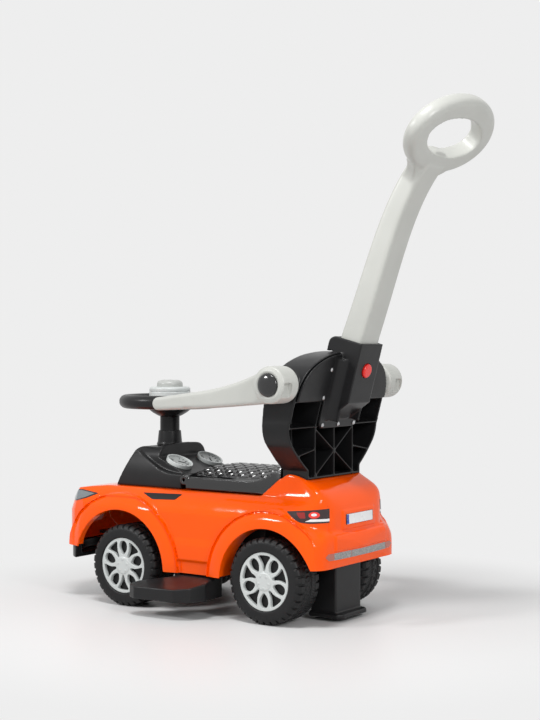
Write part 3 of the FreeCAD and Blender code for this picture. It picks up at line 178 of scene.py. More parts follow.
DIAL = moulded("dial_face", "A9ADAC", 0.30, 700.0, 0.03, 0.05)
CAP_GREY = moulded("cap_grey", "AFB1AE", 0.34, 800.0, 0.05, 0.03)
REFLECTOR_RED = moulded("reflector_red", "B4695A", 0.30, 900.0, 0.10, 0.12)


def steel_material():
    """Zinc-plated steel with fine turning marks."""
    material, tree, bsdf = shader("zinc_steel")
    place = object_place(tree)
    mottled = noise(tree, place, 160.0, 4.0)
    tint = tinted(tree, mottled, (0.42, 0.42, 0.43), (0.60, 0.60, 0.61))
    gloss = spread(tree, mottled, 0.24, 0.40)
    feed(tree, bsdf, {"Base Color": tint, "Roughness": gloss}, {"Metallic": 1.0})
    bumped(tree, bsdf, noise(tree, place, 1400.0, 2.0), 0.1, 0.0001)
    return material


def reflector_material():
    """A printed grey strip with a fine lattice of facets."""
    material, tree, bsdf = shader("reflector_lattice")
    place = object_place(tree)
    cell = add_node(tree, "TexVoronoi", {"Vector": place}, {"Scale": 420.0})
    tint = tinted(tree, cell.outputs["Distance"], (0.20, 0.20, 0.20), (0.36, 0.36, 0.35))
    gloss = spread(tree, noise(tree, place, 90.0, 3.0), 0.25, 0.40)
    feed(tree, bsdf, {"Base Color": tint, "Roughness": gloss})
    bumped(tree, bsdf, cell.outputs["Distance"], 0.3, 0.0004)
    return material


STEEL = steel_material()
REFLECTOR = reflector_material()


# Mesh helpers

def new_object(name, data):
    obj = bpy.data.objects.new(name, data)
    bpy.context.scene.collection.objects.link(obj)
    return obj


def from_data(name, points, faces):
    mesh = bpy.data.meshes.new(name)
    mesh.from_pydata([tuple(p) for p in points], [], faces)
    mesh.update()
    return new_object(name, mesh)


def settle(obj):
    """Makes what the modifiers give the object's own mesh."""
    bpy.context.view_layer.update()
    graph = bpy.context.evaluated_depsgraph_get()
    mesh = bpy.data.meshes.new_from_object(obj.evaluated_get(graph))
    obj.modifiers.clear()
    obj.data = mesh
    return obj


def copy_of(name, source):
    """A new object from the mesh of a node, with its seams closed."""
    bm = bmesh.new()
    bm.from_mesh(nodes[source].data)
    bmesh.ops.remove_doubles(bm, verts=bm.verts, dist=0.00001)
    mesh = bpy.data.meshes.new(name)
    bm.to_mesh(mesh)
    bm.free()
    return new_object(name, mesh)


def face_outward(obj):
    bm = bmesh.new()
    bm.from_mesh(obj.data)
    bmesh.ops.recalc_face_normals(bm, faces=bm.faces)
    bm.to_mesh(obj.data)
    bm.free()
    return obj


def relaxed(obj, rounds, group=""):
    """Smooths a mesh some rounds, all of it or a group of its points."""
    smooth = obj.modifiers.new("round", "SMOOTH")
    smooth.factor = 0.5
    smooth.iterations = rounds
    smooth.vertex_group = group
    return settle(obj)


def soften(obj, voxel, rounds):
    """An even mesh over the form, with its edges rounded off."""
    remesh = obj.modifiers.new("even", "REMESH")
    remesh.mode = "VOXEL"
    remesh.voxel_size = voxel * MM
    return relaxed(obj, rounds)


def smooth_zone(obj, zone, rounds):
    """Relaxes the part of a mesh where the zone's value is above nothing, most where it is one."""
    group = obj.vertex_groups.new(name="zone")
    levels = 4
    for step in range(levels):
        chosen = np.nonzero((zone > step / levels) & (zone <= (step + 1) / levels))[0]
        group.add(chosen.tolist(), (step + 1) / levels, "REPLACE")
    relaxed(obj, rounds, group.name)


def walled(obj, thick, offset=-1.0):
    """Gives a surface a wall, inward unless the offset says otherwise."""
    wall = obj.modifiers.new("wall", "SOLIDIFY")
    wall.thickness = thick * MM
    wall.offset = offset
    return settle(obj)


def finished(obj, body, slot, material, *replaced, angle=None):
    """Gives a piece its finish, its body and the nodes that it stands for."""
    mesh = obj.data
    mesh.materials.clear()
    mesh.materials.append(material)
    mesh.polygons.foreach_set("use_smooth", [True] * len(mesh.polygons))
    if angle is not None:
        mesh.set_sharp_from_angle(angle=math.radians(angle))
    mesh.update()
    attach(obj, body)
    if replaced:
        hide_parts(*replaced)
    return obj


def vectors(items, key):
    values = np.zeros(len(items) * 3)
    items.foreach_get(key, values)
    return values.reshape(-1, 3)


def coords(mesh):
    return vectors(mesh.vertices, "co")


def normals(mesh):
    return vectors(mesh.vertex_normals, "vector")


def put(mesh, values):
    mesh.vertices.foreach_set("co", values.ravel())
    mesh.update()


def in_mm(values):
    """Mesh points in millimetres, along X from the rear axle."""
    moved = values.copy()
    moved[:, 0] -= REAR
    return moved / MM


def from_mm(values):
    """Points in millimetres, along X from the rear axle, as mesh points."""
    moved = values * MM
    moved[:, 0] += REAR
    return moved


def arc(start, mid, end, count=14):
    """Points on the circle through three points, after the first one."""
    ax, ay = start
    bx, by = mid
    cx, cy = end
    d = 2 * (ax * (by - cy) + bx * (cy - ay) + cx * (ay - by))
    ux = ((ax ** 2 + ay ** 2) * (by - cy) + (bx ** 2 + by ** 2) * (cy - ay)
          + (cx ** 2 + cy ** 2) * (ay - by)) / d
    uy = ((ax ** 2 + ay ** 2) * (cx - bx) + (bx ** 2 + by ** 2) * (ax - cx)
          + (cx ** 2 + cy ** 2) * (bx - ax)) / d
    radius = math.hypot(ax - ux, ay - uy)
    first = math.atan2(ay - uy, ax - ux)
    through = (math.atan2(by - uy, bx - ux) - first) % math.tau
    last = (math.atan2(cy - uy, cx - ux) - first) % math.tau
    if through > last:
        last -= math.tau
    return [(ux + radius * math.cos(first + last * step / count),
             uy + radius * math.sin(first + last * step / count)) for step in range(1, count + 1)]


def traced(start, *steps):
    """An outline as points: a step of one point is a line, a step of two points is an arc."""
    points = [start]
    for step in steps:
        if isinstance(step[0], tuple):
            points.extend(arc(points[-1], *step))
        else:
            points.append(step)
    return points


CORNER_SHARE = 0.45


def bend(before, here, after, radius, count):
    """Points round one corner, which takes up less than half of the sides that meet there."""
    here = Vector(here)
    back = Vector(before) - here
    on = Vector(after) - here
    reach = min(radius, CORNER_SHARE * back.length, CORNER_SHARE * on.length)
    first = here + back.normalized() * reach
    last = here + on.normalized() * reach
    points = []
    for step in range(count + 1):
        share = step / count
        spot = first * (1 - share) ** 2 + here * 2 * share * (1 - share) + last * share ** 2
        points.append(tuple(spot))
    return points


def rounded(points, radius):
    """A closed convex outline with its corners rounded."""
    result = []
    for index, here in enumerate(points):
        result += bend(points[index - 1], here, points[(index + 1) % len(points)], radius, 5)
    return result


def eased(profile, radius):
    """An open profile with its inner corners rounded."""
    result = [profile[0]]
    for before, here, after in zip(profile, profile[1:], profile[2:]):
        result += bend(before, here, after, radius, 4)
    return result + [profile[-1]]


def oval(u, v, reach_u, reach_v, count=28):
    return [(u + reach_u * math.cos(math.tau * k / count), v + reach_v * math.sin(math.tau * k / count))
            for k in range(count)]


def circle(centre, radius, count=160):
    return oval(*centre, radius, radius, count)


def mirrored(half):
    """A closed outline from its half at +Y, given as (along, across) points."""
    return half + [(u, -v) for u, v in reversed(half) if abs(v) > 1e-6]


def grown(points, amount):
    """A closed outline with every side moved out."""
    count = len(points)
    turning = 0.0
    for (xa, ya), (xb, yb) in zip([points[-1]] + points, points):
        turning += xa * yb - xb * ya
    side = amount if turning > 0 else -amount
    result = []
    for index in range(count):
        here = Vector(points[index])
        back = (here - Vector(points[index - 1])).normalized()
        on = (Vector(points[(index + 1) % count]) - here).normalized()
        out = Vector((back.y + on.y, -back.x - on.x)).normalized()
        result.append(tuple(here + out * side / max(out.dot(Vector((on.y, -on.x))), 0.5)))
    return result


def scaled(points, share):
    """An outline drawn smaller or larger about its middle."""
    cu = sum(p[0] for p in points) / len(points)
    cv = sum(p[1] for p in points) / len(points)
    return [(cu + (u - cu) * share, cv + (v - cv) * share) for u, v in points]


LIFT = {
    "xz": lambda p, w: at(p[0], w, p[1]),
    "xy": lambda p, w: at(p[0], p[1], w),
    "yz": lambda p, w: at(w, p[0], p[1]),
}


def prism(name, plane, outline, low, high):
    """An outline pushed from one distance to another along the third axis."""
    lift = LIFT[plane]
    count = len(outline)
    points = [lift(p, w) for w in (low, high) for p in outline]
    faces = [list(range(count)), list(range(2 * count - 1, count - 1, -1))]
    for step in range(count):
        after = (step + 1) % count
        faces.append([step, step + count, after + count, after])
    return face_outward(from_data(name, points, faces))


def combine(base, tool, operation):
    """Joins, cuts or keeps the common part of two closed forms, and removes the second."""
    change = base.modifiers.new("combine", "BOOLEAN")
    change.operation = operation
    change.solver = "EXACT"
    change.material_mode = "TRANSFER"
    change.object = tool
    settle(base)
    bpy.data.objects.remove(tool)
    return base


def joined(base, *others):
    """Several closed forms in one mesh."""
    bm = bmesh.new()
    bm.from_mesh(base.data)
    for other in others:
        bm.from_mesh(other.data)
        bpy.data.objects.remove(other)
    bm.to_mesh(base.data)
    bm.free()
    return base


def ring_faces(rows, steps):
    """Faces between rows of points, each row closed into a ring."""
    faces = []
    for row in range(rows - 1):
        for step in range(steps):
            after = (step + 1) % steps
            faces.append([row * steps + step, row * steps + after,
                          (row + 1) * steps + after, (row + 1) * steps + step])
    return faces


def turned(name, profile, centre, axis=(0, 0, 1), steps=96):
    """A round form: (radius, height) points about an axis through a centre."""
    ups = Vector(axis).normalized()
    side = ups.orthogonal().normalized()
    other = ups.cross(side)
    points = []
    for radius, height in profile:
        for step in range(steps):
            angle = math.tau * step / steps
            reach = side * math.cos(angle) + other * math.sin(angle)
            points.append(centre + reach * radius * MM + ups * height * MM)
    obj = from_data(name, points, ring_faces(len(profile), steps))
    bm = bmesh.new()
    bm.from_mesh(obj.data)
    bmesh.ops.remove_doubles(bm, verts=bm.verts, dist=0.000001)
    bmesh.ops.holes_fill(bm, edges=bm.edges, sides=0)
    bmesh.ops.recalc_face_normals(bm, faces=bm.faces)
    bm.to_mesh(obj.data)
    bm.free()
    return obj


# Body shell: heights, half widths and outlines

TOP = 217
DECK = 249
BUMPER = 101
SILL = 72
HALF = 128
ARCH_Z = 70
ARCHES = [(-WHEELBASE - 13, 108), (0, 97)]
FLARE = 29
FLARE_RISE = 10
FLARE_FALL = 6.0
FLARE_WALLS = ((HALF - 40, HALF + 30), (-HALF - 30, -HALF + 40))
WIDEST = HALF + FLARE_RISE - 1

SIDE = traced((-490, BUMPER), ((-501, 140), (-491, 184)), ((-479, 203), (-455, 210)), (-385, TOP),
              (-32, TOP), (3, DECK), (58, DECK), (82, 234), ((99, 216), (106, 182)), (112, 122),
              (106, BUMPER), (100, 40), (-480, 40))
PLAN = mirrored(traced((-501, 0), ((-488, 78), (-452, 117)), (-425, HALF - 1), (-380, HALF),
                       (40, HALF), ((84, 110), (104, 72)), (110, 0)))
SECTION_HALF = traced((HALF, 20), (HALF, 150), ((HALF - 6, 195), (103, TOP)), (94, DECK), (90, 280))
SECTION = SECTION_HALF + [(-y, z) for y, z in reversed(SECTION_HALF)]
PILLAR = [(-6, 238), (20, 262), (40, 260), (60, DECK), (60, 238)]
PILLAR_WALLS = ((88, 96), (-96, -88))
BUMPER_SIDE = traced((30, 40), (106, 40), (109, BUMPER), (115, BUMPER + 21),
                     ((113, BUMPER + 42), (106, BUMPER + 60)), (30, BUMPER + 60))
BUMPER_SECTION = [(-WIDEST, 20), (WIDEST, 20), (WIDEST, BUMPER + 5), (106, BUMPER + 62),
                  (-106, BUMPER + 62), (-WIDEST, BUMPER + 5)]
BUMPER_END = (((98, WIDEST - 7), (109, WIDEST - 25)), (115, 0))
BUMPER_WIDE = mirrored(traced((-150, HALF + FLARE_RISE), (60, HALF + FLARE_RISE), (72, WIDEST),
                              *BUMPER_END))
BUMPER_PLAN = mirrored(traced((30, WIDEST), (70, WIDEST), *BUMPER_END))
LOWER = [(-560, BUMPER), (-WHEELBASE - 90, BUMPER), (-WHEELBASE, SILL), (50, SILL), (80, BUMPER),
         (180, BUMPER)]
LOWER_X = [x for x, z in LOWER]
LOWER_Z = [z for x, z in LOWER]

# How far the outlines are pushed, and where cuts start and end

ALONG = (-560, 160)
BUMPER_ALONG = (-50, 160)
ACROSS = (-180, 180)
UP = (20, 320)
OUTSIDE = 250
WELL_EDGE = 7.0
WELL_CUT = (160, 300)
SKIN_VOXEL = 1.8
SKIN_ROUNDS = 4
WALL = 3.0

# Corners of the deck and the tail that are relaxed

DECK_FROM = (4, 30)
DECK_ABOVE = (186, 204)
CORNER_FROM = (62, 76)
CORNER_OUT = (88, 100)
CORNER_BELOW = (158, 176)
CORNER_ROUNDS = 240

# Door creases, the tailgate and the rake of the nose

DOOR_FRONT = (-212, -200)
DOOR_REAR = (-106, -96)
DOOR_CREASE = (119.5, 138.5)
DOOR_SWELL = 2.4
DOOR_FOOT = (92.0, 97.0)
DOOR_TUCK = 3.4
TAIL_FROM = 60
SEAM_AT = 87.0
SEAM_WIDTH = 1.2
SEAM_DEPTH = 1.6
SEAM_FOOT = (158.0, 161.0)
SEAM_HEAD = (205.0, 210.0)
PANEL_FOOT = (163.0, 165.0)
PANEL_HEAD = (195.0, 197.0)
PANEL_END = (52.0, 54.5)
PANEL_RISE = 2.2
BLOCK_FOOT = (129.0, 131.0)
BLOCK_HEAD = (155.5, 158.0)
BLOCK_END = (83.0, 86.0)
BLOCK_RISE = 3.6
NOSE_REACH = (-490, -415)
RAKE_HEIGHT = [95, 130, 165, 185, 200, 211, 218]
RAKE = [-6, -9, -9, 0, 9, 19, 24]


def arch_flare(centre, radius, low, high):
    """The swelling round a wheel arch on one side."""
    flare = prism("flare", "xz", circle((centre, ARCH_Z), radius + FLARE), low, high)
    combine(flare, prism("section", "yz", grown(SECTION, FLARE_RISE), *ALONG), "INTERSECT")
    plan = grown(PLAN, FLARE_RISE) if centre < 0 else BUMPER_WIDE
    return combine(flare, prism("plan", "xy", plan, *UP), "INTERSECT")


def skin_form():
    """The closed outer form of the body, with its flares and the rear bumper."""
    form = prism("body_skin", "xz", SIDE, *ACROSS)
    combine(form, prism("plan", "xy", PLAN, *UP), "INTERSECT")
    combine(form, prism("section", "yz", SECTION, *ALONG), "INTERSECT")
    extras = [prism("pillar", "xz", PILLAR, low, high) for low, high in PILLAR_WALLS]
    for centre, radius in ARCHES:
        for low, high in FLARE_WALLS:
            extras.append(arch_flare(centre, radius, low, high))
    band = prism("band", "xz", BUMPER_SIDE, *ACROSS)
    combine(band, prism("plan", "xy", BUMPER_PLAN, *UP), "INTERSECT")
    combine(band, prism("section", "yz", BUMPER_SECTION, *BUMPER_ALONG), "INTERSECT")
    joined(form, *extras, band)
    soften(form, SKIN_VOXEL, SKIN_ROUNDS)
    x, y, z = in_mm(coords(form.data)).T
    deck = ramp(x, *DECK_FROM) * ramp(z, *DECK_ABOVE)
    corner = ramp(x, *CORNER_FROM) * ramp(np.abs(y), *CORNER_OUT) * (1.0 - ramp(z, *CORNER_BELOW))
    smooth_zone(form, np.maximum(deck, corner), CORNER_ROUNDS)
    return form


def skin_relief(mesh):
    """Rounds the flares, creases the doors, marks out the tailgate and rakes the nose."""
    x, y, z = in_mm(coords(mesh)).T
    facing = normals(mesh)
    sideways = np.abs(facing[:, 1])
    out = np.abs(y)
    reach = out
    for centre, radius in ARCHES:
        across = np.clip((np.hypot(x - centre, z - ARCH_Z) - radius) / FLARE, 0.0, 1.0)
        band = ramp(sideways, 0.4, 0.7) * ramp(reach, HALF + 1, HALF + 4) * (across > 0) * (across < 1)
        reach = reach - band * FLARE_FALL * across ** 2
    flat = ramp(sideways, 0.6, 0.9) * (reach < HALF + 2)
    door = between(x, DOOR_FRONT, DOOR_REAR) * flat
    swell = DOOR_SWELL * (1.0 - ramp(z, *DOOR_CREASE)) - DOOR_TUCK * (1.0 - ramp(z, *DOOR_FOOT))
    reach = reach + door * swell
    tail = ramp(facing[:, 0], 0.5, 0.8) * (x > TAIL_FROM)
    seam = np.exp(-((out - SEAM_AT) / SEAM_WIDTH) ** 2) * ramp(z, *SEAM_FOOT) * (1.0 - ramp(z, *SEAM_HEAD))
    panel = between(z, PANEL_FOOT, PANEL_HEAD) * (1.0 - ramp(out, *PANEL_END))
    block = between(z, BLOCK_FOOT, BLOCK_HEAD) * (1.0 - ramp(out, *BLOCK_END))
    x = x + tail * (PANEL_RISE * panel + BLOCK_RISE * block - SEAM_DEPTH * seam)
    x = x + (1.0 - ramp(x, *NOSE_REACH)) * np.interp(z, RAKE_HEIGHT, RAKE)
    put(mesh, from_mm(np.column_stack([x, np.sign(y) * reach, z])))


skin = skin_form()
skin_relief(skin.data)
skin_mesh = skin.data.copy()
skin_tree = BVHTree.FromPolygons([v.co for v in skin_mesh.vertices],
                                 [list(p.vertices) for p in skin_mesh.polygons])
CUT_MARK = bpy.data.materials.new("cut_mark")


def cut_away(shell, tool):
    """Cuts a form out of the shell, with a mark on the faces that the cut leaves."""
    tool.data.materials.append(CUT_MARK)
    combine(shell, tool, "DIFFERENCE")


def body_shell(shell):
    """The skin opened at the wheel arches, over the tub and underneath, and given a wall."""
    shell.name = "car_body"
    shell.data.materials.append(ORANGE)
    for centre, radius in ARCHES:
        ring = circle((centre, ARCH_Z), radius, 120)
        cut_away(shell, prism("arch", "xz", ring, -OUTSIDE, OUTSIDE))
    low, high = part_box("storage_tub")
    corners = ((low.x, low.y), (high.x, low.y), (high.x, high.y), (low.x, high.y))
    well = [((x - REAR) / MM, y / MM) for x, y in corners]
    cut_away(shell, prism("well", "xy", grown(well, -WELL_EDGE), *WELL_CUT))
    mark = [index for index, m in enumerate(shell.data.materials) if m and m.name.startswith("cut_mark")]
    bm = bmesh.new()
    bm.from_mesh(shell.data)
    cut = [face for face in bm.faces if face.material_index in mark]
    bmesh.ops.delete(bm, geom=cut, context="FACES")
    for (xa, za), (xb, zb) in zip(LOWER, LOWER[1:]):
        bmesh.ops.bisect_plane(bm, geom=bm.verts[:] + bm.edges[:] + bm.faces[:], plane_co=at(xa, 0, za),
                               plane_no=Vector((za - zb, 0, xb - xa)).normalized(), dist=1e-6)
    edge_x = [REAR + x * MM for x in LOWER_X]
    edge_z = [z * MM for z in LOWER_Z]
    spots = [(face, face.calc_center_median()) for face in bm.faces]
    under = [face for face, spot in spots if spot.z < np.interp(spot.x, edge_x, edge_z)]
    bmesh.ops.delete(bm, geom=under, context="FACES")
    bmesh.ops.remove_doubles(bm, verts=bm.verts, dist=0.0001)
    bm.to_mesh(shell.data)
    bm.free()
    walled(shell, WALL)
    return finished(shell, "car", "body_orange", ORANGE, "body_shell", angle=50)


body_shell(skin)


def skin_reach(x, z, side):
    """How far out the skin stands at a place on the car's side, in millimetres."""
    hit = skin_tree.ray_cast(at(x, side * OUTSIDE, z), Vector((0, -side, 0)))
    return abs(hit[0].y) / MM if hit[0] is not None else None


LIP_DEPTHS = (13.0, 36.0)
LIP_STEPS = 120
LIP_PAST = 0.04
LIP_CLEAR = 1.5
LIP_INSET = 0.4
LIP_SHARES = (0.0, 0.12, 0.5, 1.0)
LIP_WALL = 2.4


def lip_rows(centre, radius, side):
    """Places round a wheel arch, a little past half a turn, with the reach of the skin beside them."""
    rows = []
    for step in range(LIP_STEPS + 1):
        angle = math.pi * (step / LIP_STEPS * (1 + 2 * LIP_PAST) - LIP_PAST)
        x = centre + radius * math.cos(angle)
        z = ARCH_Z + radius * math.sin(angle)
        out = skin_reach(centre + (radius + LIP_CLEAR) * math.cos(angle),
                         ARCH_Z + (radius + LIP_CLEAR) * math.sin(angle), side)
        if out is not None and z >= np.interp(x, LOWER_X, LOWER_Z) + LIP_CLEAR:
            rows.append((x, z, out))
    return rows


def arch_returns():
    """The inner lips of the wheel arches."""
    points = []
    faces = []
    wide = len(LIP_SHARES)
    for (centre, radius), depth in zip(ARCHES, LIP_DEPTHS):
        for side in (-1, 1):
            rows = lip_rows(centre, radius, side)
            first = len(points)
            for x, z, out in rows:
                for share in LIP_SHARES:
                    points.append(at(x, side * (out - LIP_INSET - depth * share), z))
            for row in range(len(rows) - 1):
                for column in range(wide - 1):
                    a = first + row * wide + column
                    faces.append([a, a + 1, a + 1 + wide, a + wide])
    lips = face_outward(from_data("arch_returns", points, faces))
    walled(lips, LIP_WALL, 0.0)
    return finished(lips, "car", "body_orange", ORANGE, angle=40)


arch_returns()


# Trim on the skin

PATCH_MARGIN = 0.01
FREE_AXIS = {"xz": 1, "yz": 0}


def skin_patch(name, plane, outline, keep, lift, thick, material, slot, *replaced):
    """A thin plate that follows the skin inside an outline."""
    free = FREE_AXIS[plane]
    axis = Vector((0, 0, 0))
    axis[free] = 1
    corners = [LIFT[plane](p, 0) for p in outline]
    centre = sum(corners, Vector((0, 0, 0))) / len(corners)
    low = [min(c[i] for c in corners) - PATCH_MARGIN for i in range(3)]
    high = [max(c[i] for c in corners) + PATCH_MARGIN for i in range(3)]
    bm = bmesh.new()
    bm.from_mesh(skin_mesh)
    far = []
    for face in bm.faces:
        spot = face.calc_center_median()
        outside = any(i != free and not low[i] < spot[i] < high[i] for i in range(3))
        if outside or not keep(spot, face.normal):
            far.append(face)
    bmesh.ops.delete(bm, geom=far, context="FACES")
    for here, after in zip(corners, corners[1:] + corners[:1]):
        across = (after - here).cross(axis)
        if across.length < 1e-9:
            continue
        across.normalize()
        if (centre - here).dot(across) > 0:
            across = -across
        bmesh.ops.bisect_plane(bm, geom=bm.verts[:] + bm.edges[:] + bm.faces[:], plane_co=here,
                               plane_no=across, clear_outer=True, dist=1e-7)
    bm.normal_update()
    for vert in bm.verts:
        vert.co += vert.normal * lift * MM
    mesh = bpy.data.meshes.new(name)
    bm.to_mesh(mesh)
    bm.free()
    plate = walled(new_object(name, mesh), thick)
    return finished(plate, "car", slot, material, *replaced, angle=40)


def on_sides(spot, normal):
    return abs(spot.y) > 0.085 and abs(normal.y) > 0.05


def on_nose(spot, normal):
    return spot.x < REAR - 0.44 and normal.x < -0.2


def on_tail(spot, normal):
    return spot.x > REAR + 0.07 and normal.x > 0.2


HEADLIGHT = [(-496, 188), (-470, 203), (-440, 207), (-394, 202), (-420, 192), (-455, 184)]
TAILLIGHT = [(36, 197), (118, 204), (118, 179), (80, 178), (64, 180)]
LAMP_BLOCK = [(56, 196), (71, 197), (73, 187), (64, 187)]
LAMP_STRIP = [(72, 181.4), (116, 181.0), (116, 185.4), (80, 185.6)]
VENT = [(-290, 209), (-199, 211), (-210, 201), (-262, 199)]
GRILLE = [(-64, 128), (64, 128), (58, 164), (-58, 164)]
PLATE = [(-43, 172), (43, 172), (43, 189), (-43, 189)]
PLATE_BAND = [(-43, 172.5), (-37, 172.5), (-37, 188.5), (-43, 188.5)]
STRIP = [(-34, 115), (86, 115), (86, 127), (-34, 127)]
STRIP_SHORT = [(-86, 115), (-35.2, 115), (-35.2, 127), (-86, 127)]
STRIP_TIP = [(86.6, 115), (102, 115.5), (111, 122), (104, 127), (86.6, 127)]

PATCHES = [
    # name, plane, outline, where it is kept, lift, thickness, material, slot and the node it stands for
    ("headlight_frames", "xz", rounded(HEADLIGHT, 4), on_sides,
     0.5, 1.6, LENS_DARK, "clear_lens", "headlights"),
    ("headlight_lenses", "xz", rounded(scaled(HEADLIGHT, 0.82), 3), on_sides,
     1.0, 1.2, LENS_CLEAR, "clear_lens"),
    ("tail_lamp_frames", "xz", rounded(TAILLIGHT, 3), on_sides,
     0.5, 1.6, LENS_DARK, "smoke_lens", "taillights"),
    ("tail_lamp_blocks", "xz", rounded(LAMP_BLOCK, 2), on_sides,
     0.9, 1.2, LENS_RED, "smoke_lens"),
    ("tail_lamp_rings", "xz", oval(84, 192.5, 7.0, 5.6), on_sides,
     1.0, 1.2, LENS_GLOW, "smoke_lens"),
    ("tail_lamp_spots", "xz", oval(84, 193, 3.6, 2.4), on_sides,
     1.3, 1.2, WHITE, "smoke_lens"),
    ("tail_lamp_strips", "xz", LAMP_STRIP, on_sides,
     1.1, 1.2, WHITE, "smoke_lens"),
    ("side_vent_inlays", "xz", rounded(VENT, 3), on_sides,
     0.5, 1.6, BLACK, "black_plastic", "side_vents"),
    ("grille_inlay", "yz", rounded(GRILLE, 6), on_nose,
     0.5, 1.8, BLACK, "black_plastic", "front_grille"),
    ("plate_frame", "yz", rounded(scaled(PLATE, 1.05), 2), on_tail,
     0.5, 1.6, BLACK, "black_plastic"),
    ("bare_plate", "yz", rounded(PLATE, 1.5), on_tail,
     1.0, 1.6, WHITE, "plate_white", "number_plate"),
    ("plate_band", "yz", PLATE_BAND, on_tail,
     1.2, 0.8, BLUE, "plate_white"),
    ("reflector_band", "yz", rounded(STRIP, 1), on_tail,
     0.6, 1.6, REFLECTOR, "reflector_grey", "reflector_strip"),
    ("reflector_short", "yz", rounded(STRIP_SHORT, 1), on_tail,
     0.6, 1.6, REFLECTOR, "reflector_grey"),
]
for word, side in SIDES:
    tip = [(side * y, z) for y, z in STRIP_TIP]
    PATCHES.append(("reflector_tip_" + word, "yz", rounded(tip, 2), on_tail,
                    0.6, 1.6, REFLECTOR_RED, "reflector_grey"))
for patch in PATCHES:
    skin_patch(*patch)


# Tyres: distances across the tread are measured from the outer face

TYRE_WIDTH = 68.0
TYRE_RADIUS = 75.0
LUGS = 32
LUG_LENGTH = 14.7
ROUND_STEPS = LUGS * 12
SLOT_EDGE = (0.34, 0.42)
OUTER_SLOT = (15.0, 18.0)
INNER_SLOT = (50.0, 53.0)
SLOT_DEPTH = 3.4
GROOVES = (((17.0, 18.5), (20.0, 21.5)), ((36.5, 38.0), (39.0, 40.5)))
GROOVE_DEPTH = 2.2
ROW = ((20.5, 21.5), (36.0, 37.0))
ROW_MIDDLE = 29.0
ROW_DEPTH = 1.5
ROW_SPOT = (5.2, 7.0)
RIBS = ((40.0, 41.0), (49.5, 50.5))
RIB_MIDDLE = 45.0
RIB_DEPTH = 1.3
STUD_RADIUS = 64.5
STUD_RISE = 0.7


def lug_share(angle):
    """How far along its lug an angle is, from 0 to 1."""
    return (angle * LUGS / math.tau) % 1.0


def tyre_depth(angle, across):
    """How deep the tread is cut at an angle and a distance from the outer face."""
    share = lug_share(angle)
    slot = ramp(np.abs(share - 0.5), *SLOT_EDGE)
    slots = np.maximum(slot * (1.0 - ramp(across, *OUTER_SLOT)), slot * ramp(across, *INNER_SLOT))
    grooves = np.maximum(between(across, *GROOVES[0]), between(across, *GROOVES[1]))
    spot = np.hypot((share - 0.5) * LUG_LENGTH / ROW_SPOT[0], (across - ROW_MIDDLE) / ROW_SPOT[1])
    raised = 1.0 - ramp(np.abs(spot - 0.85), 0.14, 0.30)
    row = between(across, *ROW) * (1.0 - raised)
    ribs = between(across, *RIBS)
    wave = 0.5 + 0.5 * np.cos(angle * LUGS * 3 + (across - RIB_MIDDLE) * 0.5)
    return SLOT_DEPTH * slots + GROOVE_DEPTH * grooves + ROW_DEPTH * row + RIB_DEPTH * ribs * wave


def tyre_profile():
    """(radius, distance from the outer face) points from the outer well round to the bore."""
    points = [(4.3, 10.0), (30.0, 10.0), (50.9, 10.0), (51.3, 9.4), (51.3, 1.6), (52.0, 0.5),
              (53.2, 0.0), (57.0, -0.05), (61.0, 0.0), (64.0, 0.1), (66.0, 0.3), (68.0, 0.8),
              (70.0, 1.7), (71.8, 2.9), (73.2, 4.2), (74.2, 5.6), (74.8, 7.0)]
    for step in range(61):
        points.append((TYRE_RADIUS, 8.0 + 52.0 * step / 60))
    points += [(74.8, 61.0), (74.2, 62.4), (73.2, 63.8), (71.8, 65.1), (70.0, 66.3), (68.0, 67.2),
               (66.0, 67.7), (62.0, 68.0), (57.0, 68.0), (55.5, 67.3), (55.0, 66.0), (55.0, 58.0),
               (13.0, 58.0), (13.0, 65.0), (4.3, 65.0)]
    return np.array(points)


def tyre_mesh():
    """Points and faces of a tyre about its own axis, with its tread and a ring of small studs."""
    profile = tyre_profile()
    angles = (np.arange(ROUND_STEPS) * math.tau / ROUND_STEPS)[None, :]
    radius = profile[:, 0][:, None]
    across = profile[:, 1][:, None]
    reach = radius - tyre_depth(angles, across) * ramp(radius, 66.0, 73.0)
    studs = np.exp(-((radius - STUD_RADIUS) ** 2) / 1.6) * np.exp(-((lug_share(angles) - 0.5) / 0.09) ** 2)
    side = across - STUD_RISE * studs * (across < 5.0)
    spots = np.stack([reach * np.cos(angles), side, reach * np.sin(angles)], axis=-1)
    return spots.reshape(-1, 3), ring_faces(len(profile), ROUND_STEPS)


# Wheel covers

COVER_FACE = -138.0
COVER_BACK = -130.0
COVER_CENTRE = (0.0, 75.0)
COVER_RADIUS = 50.7
COVER_THROUGH = (COVER_FACE - 5, COVER_BACK + 5)
WHEEL_MIDDLE = -106.0
SPOKE_PAIRS = 5
SPOKE_TURN = 72.0
HUB_RADIUS = 15.2
HUB_REACH = (COVER_FACE - 1.2, COVER_FACE + 2)
NUT_WELL_RADIUS = 10.0
NUT_WELL_REACH = (COVER_BACK - 5.0, COVER_BACK + 5)
BOLT = [(2.4, 0.0), (2.4, 0.8), (1.9, 1.15), (0.01, 1.2)]
BOLT_RING = 11.0
BOLT_SEAT = COVER_FACE - 0.6
PETAL = [(19.8, 0.0), (20.4, 2.2), (24.0, 5.2), (28.0, 7.8), (32.0, 9.2), (36.0, 9.4), (40.0, 8.4),
         (43.4, 6.2), (45.2, 3.0), (45.6, 0.0)]
GAP = [(17.6, 0.0), (18.4, 1.9), (22.0, 3.0), (26.0, 3.8), (30.0, 5.2), (34.0, 7.6), (38.0, 10.4),
       (42.0, 13.0), (44.0, 12.6), (45.2, 8.0), (45.6, 0.0)]


